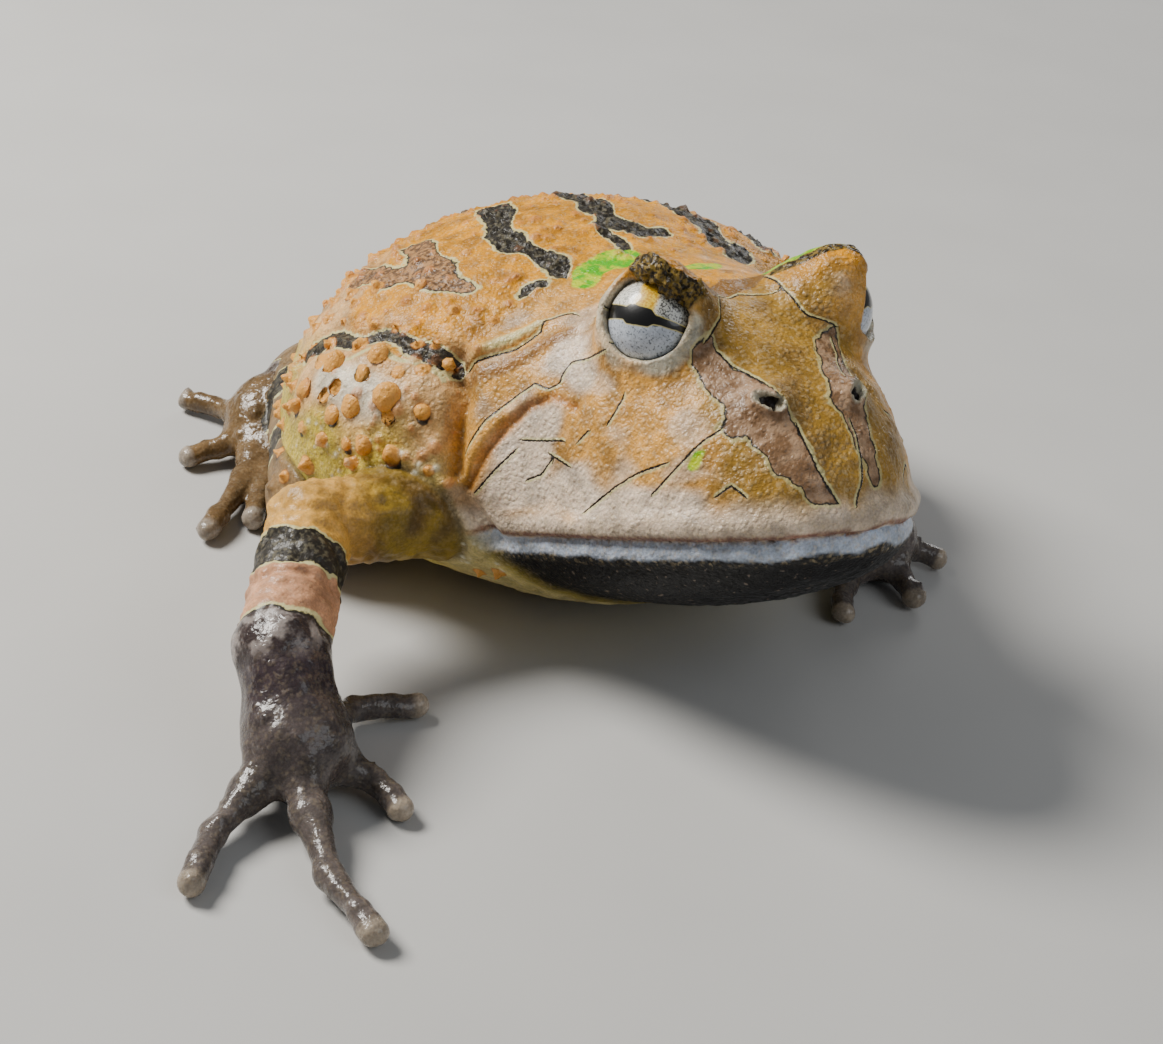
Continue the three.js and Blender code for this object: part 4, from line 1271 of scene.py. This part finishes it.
def ground_layer(s):
    """The stored colours, mottled, with painted highlights on specks and granule tops, and the throat's pale
    flecks.
    """
    colour = s.colour("patch")
    for noise, reach in ((s.noise(5, 3), 1.3), (s.middle, 1.2), (s.specks, 0.8)):
        colour = s.shade(colour, s.math("ADD", 1.0, s.about_zero(noise, reach)))
    # Painted highlights: pale specks from fine noise and lighter granule tops, standing in for glints on the
    # wet granules
    painted_glints = s.math("MAXIMUM", s.times(s.fade(s.fine, 0.54, 0.68), 0.25), s.times(s.granules, 0.14))
    off_limbs = s.math("SUBTRACT", s.skin_only, s.times(s.number("limb"), 0.7))
    colour = s.mix(s.times(painted_glints, off_limbs), colour, srgb(232, 208, 160))
    fleck = s.times(s.fade(s.noise(0.7, 1), 0.68, 0.74), s.number("throat"))
    return s.mix(s.times(fleck, 0.7), colour, srgb(126, 112, 100))


def trunk_layer(s, colour):
    """Rusty patches, the pale arc over the flank and the dark blotches."""
    rusty = s.mix(s.fade(s.fine, 0.4, 0.62), srgb(100, 74, 50), srgb(172, 128, 82))
    colour = mark(s, colour, s.math("ADD", s.number("rusty"), s.jitter), CREAM, rusty)
    colour = s.mix(s.times(s.fade(s.number("arc"), 0.22, 0.0), 0.9), colour, CREAM)
    dark = s.mix(s.fade(s.fine, 0.46, 0.7), DARK, srgb(96, 90, 72))
    return mark(s, colour, s.math("ADD", s.number("dark"), s.jitter), CREAM, dark)


def hand_layer(s, colour):
    mottled = s.mix(s.fade(s.middle, 0.42, 0.62), srgb(58, 48, 46), srgb(150, 140, 134))
    near_wrist = s.fade(s.number("hand"), -7.0, -1.0)
    inside = s.mix(s.times(near_wrist, 0.85), colour, mottled)
    return mark(s, colour, s.math("ADD", s.number("hand"), s.times(s.jitter, 0.6)), CREAM, inside)


def face_layer(s, colour):
    """The face's patches, the lime patches, the brow's band, and cracks with a pale side."""
    patch = s.mix(s.fade(s.middle, 0.4, 0.62), srgb(122, 92, 64), srgb(168, 136, 106))
    mask = s.math("ADD", s.number("mask"), s.times(s.jitter, 0.9))
    colour = mark(s, colour, mask, CREAM, patch, 0.55)
    lime = s.math("ADD", s.number("lime"), s.jitter)
    lime_colour = s.mix(s.fade(s.middle, 0.4, 0.6), srgb(186, 204, 0), LIME_GREEN)
    colour = s.mix(s.fade(lime, 0.25, -0.25), colour, lime_colour)
    brow = s.math("ADD", s.number("brow"), s.jitter)
    colour = s.mix(s.times(s.fade(brow, 0.2, -0.1), 0.8), colour, srgb(104, 74, 38))
    line = s.math("ADD", s.number("line_side"), s.about_zero(s.specks, 0.25))
    shown = s.fade(s.number("line_near"), 0.5, 0.35)
    halo = s.times(s.fade(line, 0.05, 0.15), s.fade(line, 0.5, 0.25))
    colour = s.mix(s.times(s.times(halo, shown), 0.75), colour, CREAM)
    s.ink = s.times(s.fade(s.math("ABSOLUTE", line), 0.15, 0.06), shown)
    colour = s.mix(s.ink, colour, srgb(34, 26, 22))
    nostril = s.number("nostril")
    colour = s.mix(s.times(s.fade(nostril, 0.9, 0.5), 0.7), colour, srgb(186, 182, 160))
    # Painted shade: the nostril's opening painted near black
    return s.mix(s.fade(nostril, 0.12, 0.0), colour, srgb(24, 16, 12))


def wart_layer(s, colour):
    """Dark spots below the feet of some warts, partly pigment and partly painted shadow, the warts and bumps,
    and the crests of the lids.
    """
    # The dark spots under some warts, partly pigment and partly painted shadow
    spot = s.fade(s.math("ADD", s.number("spot"), s.times(s.jitter, 0.5)), 0.1, -0.1)
    colour = s.mix(s.times(spot, 0.9), colour, srgb(30, 24, 20))
    wart = s.number("wart")
    wart_colour = s.mix(s.fade(wart, 0.6, 1.0), srgb(170, 104, 36), srgb(224, 160, 74))
    colour = s.mix(s.fade(wart, 0.3, 0.9), colour, wart_colour)
    outside = s.fade(s.number("dark"), -0.4, 0.1)
    bump = s.times(s.times(s.fade(s.number("bump"), 0.4, 1.0), 0.5), s.math("MAXIMUM", outside, 0.25))
    bump = s.times(bump, s.math("SUBTRACT", 1.0, s.number("limb")))
    colour = s.mix(bump, colour, srgb(208, 136, 78))
    colour = s.mix(s.times(s.number("pearl"), 0.8), colour, srgb(236, 232, 206))
    crust = s.mix(s.fade(s.fine, 0.4, 0.62), srgb(44, 34, 16), srgb(128, 104, 42))
    return s.mix(s.fade(s.number("crust"), 0.2, 0.7), colour, crust)


def skin_material():
    s = Shader("skin")
    s.middle = s.noise(1.6, 3)
    s.fine = s.noise(0.6, 2)
    s.specks = s.noise(0.28, 1)
    s.granules = s.fade(s.cells(0.75), 0.54, 0.12)
    s.jitter = s.about_zero(s.noise(0.9, 2), 0.9)
    s.skin_only = s.math("SUBTRACT", 1.0, s.number("throat"))
    colour = ground_layer(s)
    for layer in (trunk_layer, hand_layer, face_layer, wart_layer):
        colour = layer(s, colour)
    s.put(s.surface.inputs["Base Color"], colour)

    dryness = s.math("SUBTRACT", 0.56, s.times(s.number("wet"), 0.3))
    s.put(s.surface.inputs["Roughness"], s.math("ADD", dryness, s.about_zero(s.fine, 0.5)))
    s.put(s.surface.inputs["Coat Weight"], s.times(s.skin_only, s.times(s.number("wet"), 0.42)))
    s.fix({
        "Subsurface Weight": 0.08,
        "Subsurface Radius": (0.004, 0.002, 0.001),
        "Subsurface Scale": 0.25,
        "Specular IOR Level": 0.22,
        "Coat Roughness": 0.16,
    })
    grit = s.fade(s.noise(0.35, 1), 0.4, 0.65)
    rough = s.math("SUBTRACT", 1.0, s.times(s.number("limb"), 0.6))
    grain = s.times(rough, s.math("ADD", s.granules, s.times(grit, 0.4)))
    normal = s.bump(s.middle, 0.1, 0.5)
    normal = s.bump(grain, 0.11, 0.8, normal)
    normal = s.bump(s.times(s.ink, -1.0), 0.15, 1.0, normal)
    s.put(s.surface.inputs["Normal"], normal)
    s.put(s.surface.inputs["Coat Normal"], normal)
    return s.material


def mark(s, colour, distance, edge, inside, edge_share=0.9):
    """A marking with a thin pale edge, a darker border and its own colour inside."""
    colour = s.mix(s.times(s.fade(distance, 0.5, 0.3), edge_share), colour, edge)
    colour = s.mix(s.fade(distance, 0.14, 0.02), colour, DARK)
    return s.mix(s.fade(distance, -0.02, -0.2), colour, inside)


skin_piece = skin_object()
skin_piece.data.materials.append(skin_material())
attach(skin_piece, "root")
EYES = ("eye_left", "eye_right")
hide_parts(*[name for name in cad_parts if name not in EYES])


# Eyes


def eye_piece(name, side, rings=72, spokes=108):
    """An eyeball with its pole on the gaze, whose points know their place across the iris."""
    gaze = on_side(GAZE, side)
    pupil = on_side(PUPIL, side)
    pupil = unit(pupil - (pupil @ gaze) * gaze)
    over = np.cross(gaze, pupil)
    over = over * np.sign(over[2])
    polar = np.linspace(0, math.pi, rings + 1)[1:-1]
    turn = np.linspace(0, 2 * math.pi, spokes, endpoint=False)
    ring, spoke = np.meshgrid(polar, turn, indexing="ij")
    flat = np.sin(ring)
    local = np.stack([flat * np.cos(spoke), flat * np.sin(spoke), np.cos(ring)], -1).reshape(-1, 3)
    local = np.concatenate([local, [(0, 0, 1), (0, 0, -1)]])
    radius = EYE_RADIUS - 0.04
    place = on_side(EYE, side) + radius * (local @ np.stack([pupil, over, gaze]))
    mesh = bpy.data.meshes.new(name)
    faces = ball_faces(rings, spokes)
    if np.cross(pupil, over) @ gaze < 0:
        faces = [face[::-1] for face in faces]
    mesh.from_pydata(((from_head(place) + SHIFT) * MM).tolist(), [], faces)
    mesh.polygons.foreach_set("use_smooth", np.ones(len(mesh.polygons), bool))
    set_number(mesh, "across", local[:, 0] * radius)
    set_number(mesh, "above", local[:, 1] * radius)
    piece = bpy.data.objects.new(name, mesh)
    bpy.context.scene.collection.objects.link(piece)
    return piece


def ball_faces(rings, spokes):
    """Outward faces of a ball of rings, whose last two points are its poles."""
    faces = []
    count = (rings - 1) * spokes
    for spoke in range(spokes):
        following = (spoke + 1) % spokes
        for ring in range(rings - 2):
            upper, lower = ring * spokes, (ring + 1) * spokes
            faces.append((upper + spoke, lower + spoke, lower + following, upper + following))
        faces.append((count, spoke, following))
        faces.append((count + 1, count - spokes + following, count - spokes + spoke))
    return faces


def eye_material():
    s = Shader("eye")
    across = s.number("across")
    above = s.math("ADD", s.number("above"), 0.35)
    wobble = s.about_zero(s.noise(1.0, 2), 0.5)
    specks = s.noise(0.24, 3)
    height = s.number("above")
    radial = s.math("SQRT", s.math("ADD", s.times(across, across), s.times(height, height)))

    silver = s.mix(s.fade(specks, 0.36, 0.56), srgb(150, 150, 142), srgb(240, 238, 226))
    gold = s.mix(s.fade(specks, 0.4, 0.6), srgb(204, 150, 4), srgb(236, 200, 66))
    peppered = s.mix(s.fade(specks, 0.42, 0.54), srgb(70, 68, 66), srgb(186, 186, 178))
    place = s.math("ADD", across, s.times(wobble, 1.6))
    golden = s.times(s.fade(place, -1.5, -0.9), s.fade(place, 1.6, 0.9))
    upper = s.mix(golden, silver, gold)
    upper = s.mix(s.fade(place, 1.1, 1.9), upper, peppered)
    lower = s.mix(s.fade(specks, 0.34, 0.5), srgb(96, 104, 116), srgb(186, 194, 206))
    lower = s.mix(s.times(s.fade(s.noise(0.8, 2), 0.5, 0.62), 0.5), lower, srgb(212, 220, 234))
    iris = s.mix(s.fade(above, -0.1, 0.1), lower, upper)
    bulge = s.times(s.fade(s.math("ABSOLUTE", s.math("ADD", across, 0.2)), 1.9, 1.1), 0.45)
    half = s.math("ADD", s.math("ADD", 0.55, s.times(across, -0.06)), bulge)
    edge = s.math("SUBTRACT", s.math("ABSOLUTE", s.math("ADD", above, s.times(wobble, 0.3))), half)
    iris = s.mix(s.times(s.fade(edge, 0.18, 0.08), 0.7), iris, srgb(206, 186, 84))
    iris = s.mix(s.fade(edge, 0.06, -0.04), iris, srgb(6, 5, 5))
    rim = s.math("ADD", radial, s.times(wobble, 0.5))
    iris = s.mix(s.fade(rim, 4.4, 4.65), iris, srgb(24, 20, 20))
    s.put(s.surface.inputs["Base Color"], iris)
    s.fix({"Roughness": 0.35, "Coat Weight": 1.0, "Coat Roughness": 0.04, "Coat IOR": 1.38})
    s.put(s.surface.inputs["Normal"], s.bump(specks, 0.03, 0.4))
    return s.material


EYE_MATERIAL = eye_material()
for node, side in (("eye_left", 1), ("eye_right", -1)):
    piece = eye_piece(node.replace("eye", "eyeball"), side)
    piece.data.materials.append(EYE_MATERIAL)
    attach(piece, "root")
    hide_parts(node)


# Floor, lights and camera, in metres


def add_floor(reach=4.0):
    mesh = bpy.data.meshes.new("floor")
    corners = [(-reach, -reach, 0), (reach, -reach, 0), (reach, reach, 0), (-reach, reach, 0)]
    mesh.from_pydata(corners, [], [(0, 1, 2, 3)])
    floor = bpy.data.objects.new("floor", mesh)
    bpy.context.scene.collection.objects.link(floor)
    s = Shader("floor")
    s.put(s.surface.inputs["Base Color"], s.mix(s.noise(30, 3), srgb(186, 185, 182), srgb(196, 195, 192)))
    s.fix({"Roughness": 0.8})
    mesh.materials.append(s.material)


def area_light(name, at, target, size, power, colour):
    data = bpy.data.lights.new(name, "AREA")
    data.shape = "DISK"
    data.size = size
    data.energy = power
    data.color = colour
    lamp = bpy.data.objects.new(name, data)
    lamp.location = at
    lamp.rotation_mode = "QUATERNION"
    lamp.rotation_quaternion = (Vector(target) - Vector(at)).to_track_quat("-Z", "Y")
    bpy.context.scene.collection.objects.link(lamp)


def camera_axes():
    azimuth, elevation, roll = np.radians([CAMERA_AZIMUTH, CAMERA_ELEVATION, CAMERA_ROLL])
    level = math.cos(elevation)
    back = np.array((math.sin(azimuth) * level, -math.cos(azimuth) * level, math.sin(elevation)))
    right = np.array((math.cos(azimuth), math.sin(azimuth), 0))
    up = np.cross(back, right)
    turned_right = math.cos(roll) * right + math.sin(roll) * up
    turned_up = math.cos(roll) * up - math.sin(roll) * right
    return turned_right, turned_up, back


def add_camera():
    right, up, back = camera_axes()
    data = bpy.data.cameras.new("camera")
    data.sensor_width = 36
    data.lens = data.sensor_width * CAMERA_FOCUS / PICTURE_WIDTH
    data.clip_start = 0.01
    data.clip_end = 20
    camera = bpy.data.objects.new("camera", data)
    camera.rotation_mode = "QUATERNION"
    camera.rotation_quaternion = Matrix(np.stack([right, up, back], -1).tolist()).to_quaternion()
    camera.location = (np.array(CAMERA_TARGET) + back * CAMERA_DISTANCE + SHIFT) * MM
    bpy.context.scene.collection.objects.link(camera)
    bpy.context.scene.camera = camera


def add_lights():
    world = bpy.data.worlds.new("studio")
    bpy.context.scene.world = world
    world.use_nodes = True
    world.node_tree.nodes["Background"].inputs["Color"].default_value = (0.84, 0.88, 0.94, 1)
    world.node_tree.nodes["Background"].inputs["Strength"].default_value = 0.15
    right, up, back = camera_axes()
    middle = (0, 0, 0.02)
    area_light("key", -0.36 * right + 0.5 * up + 0.14 * back, middle, 0.28, 7.2, (1, 0.97, 0.92))
    area_light("fill", 0.6 * right + 0.2 * up + 0.55 * back, middle, 0.6, 1.7, (0.92, 0.96, 1))
    area_light("rim", 0.3 * right + 0.55 * up - 0.45 * back, middle, 0.3, 1.0, (1, 1, 1))


add_floor()
add_lights()
add_camera()
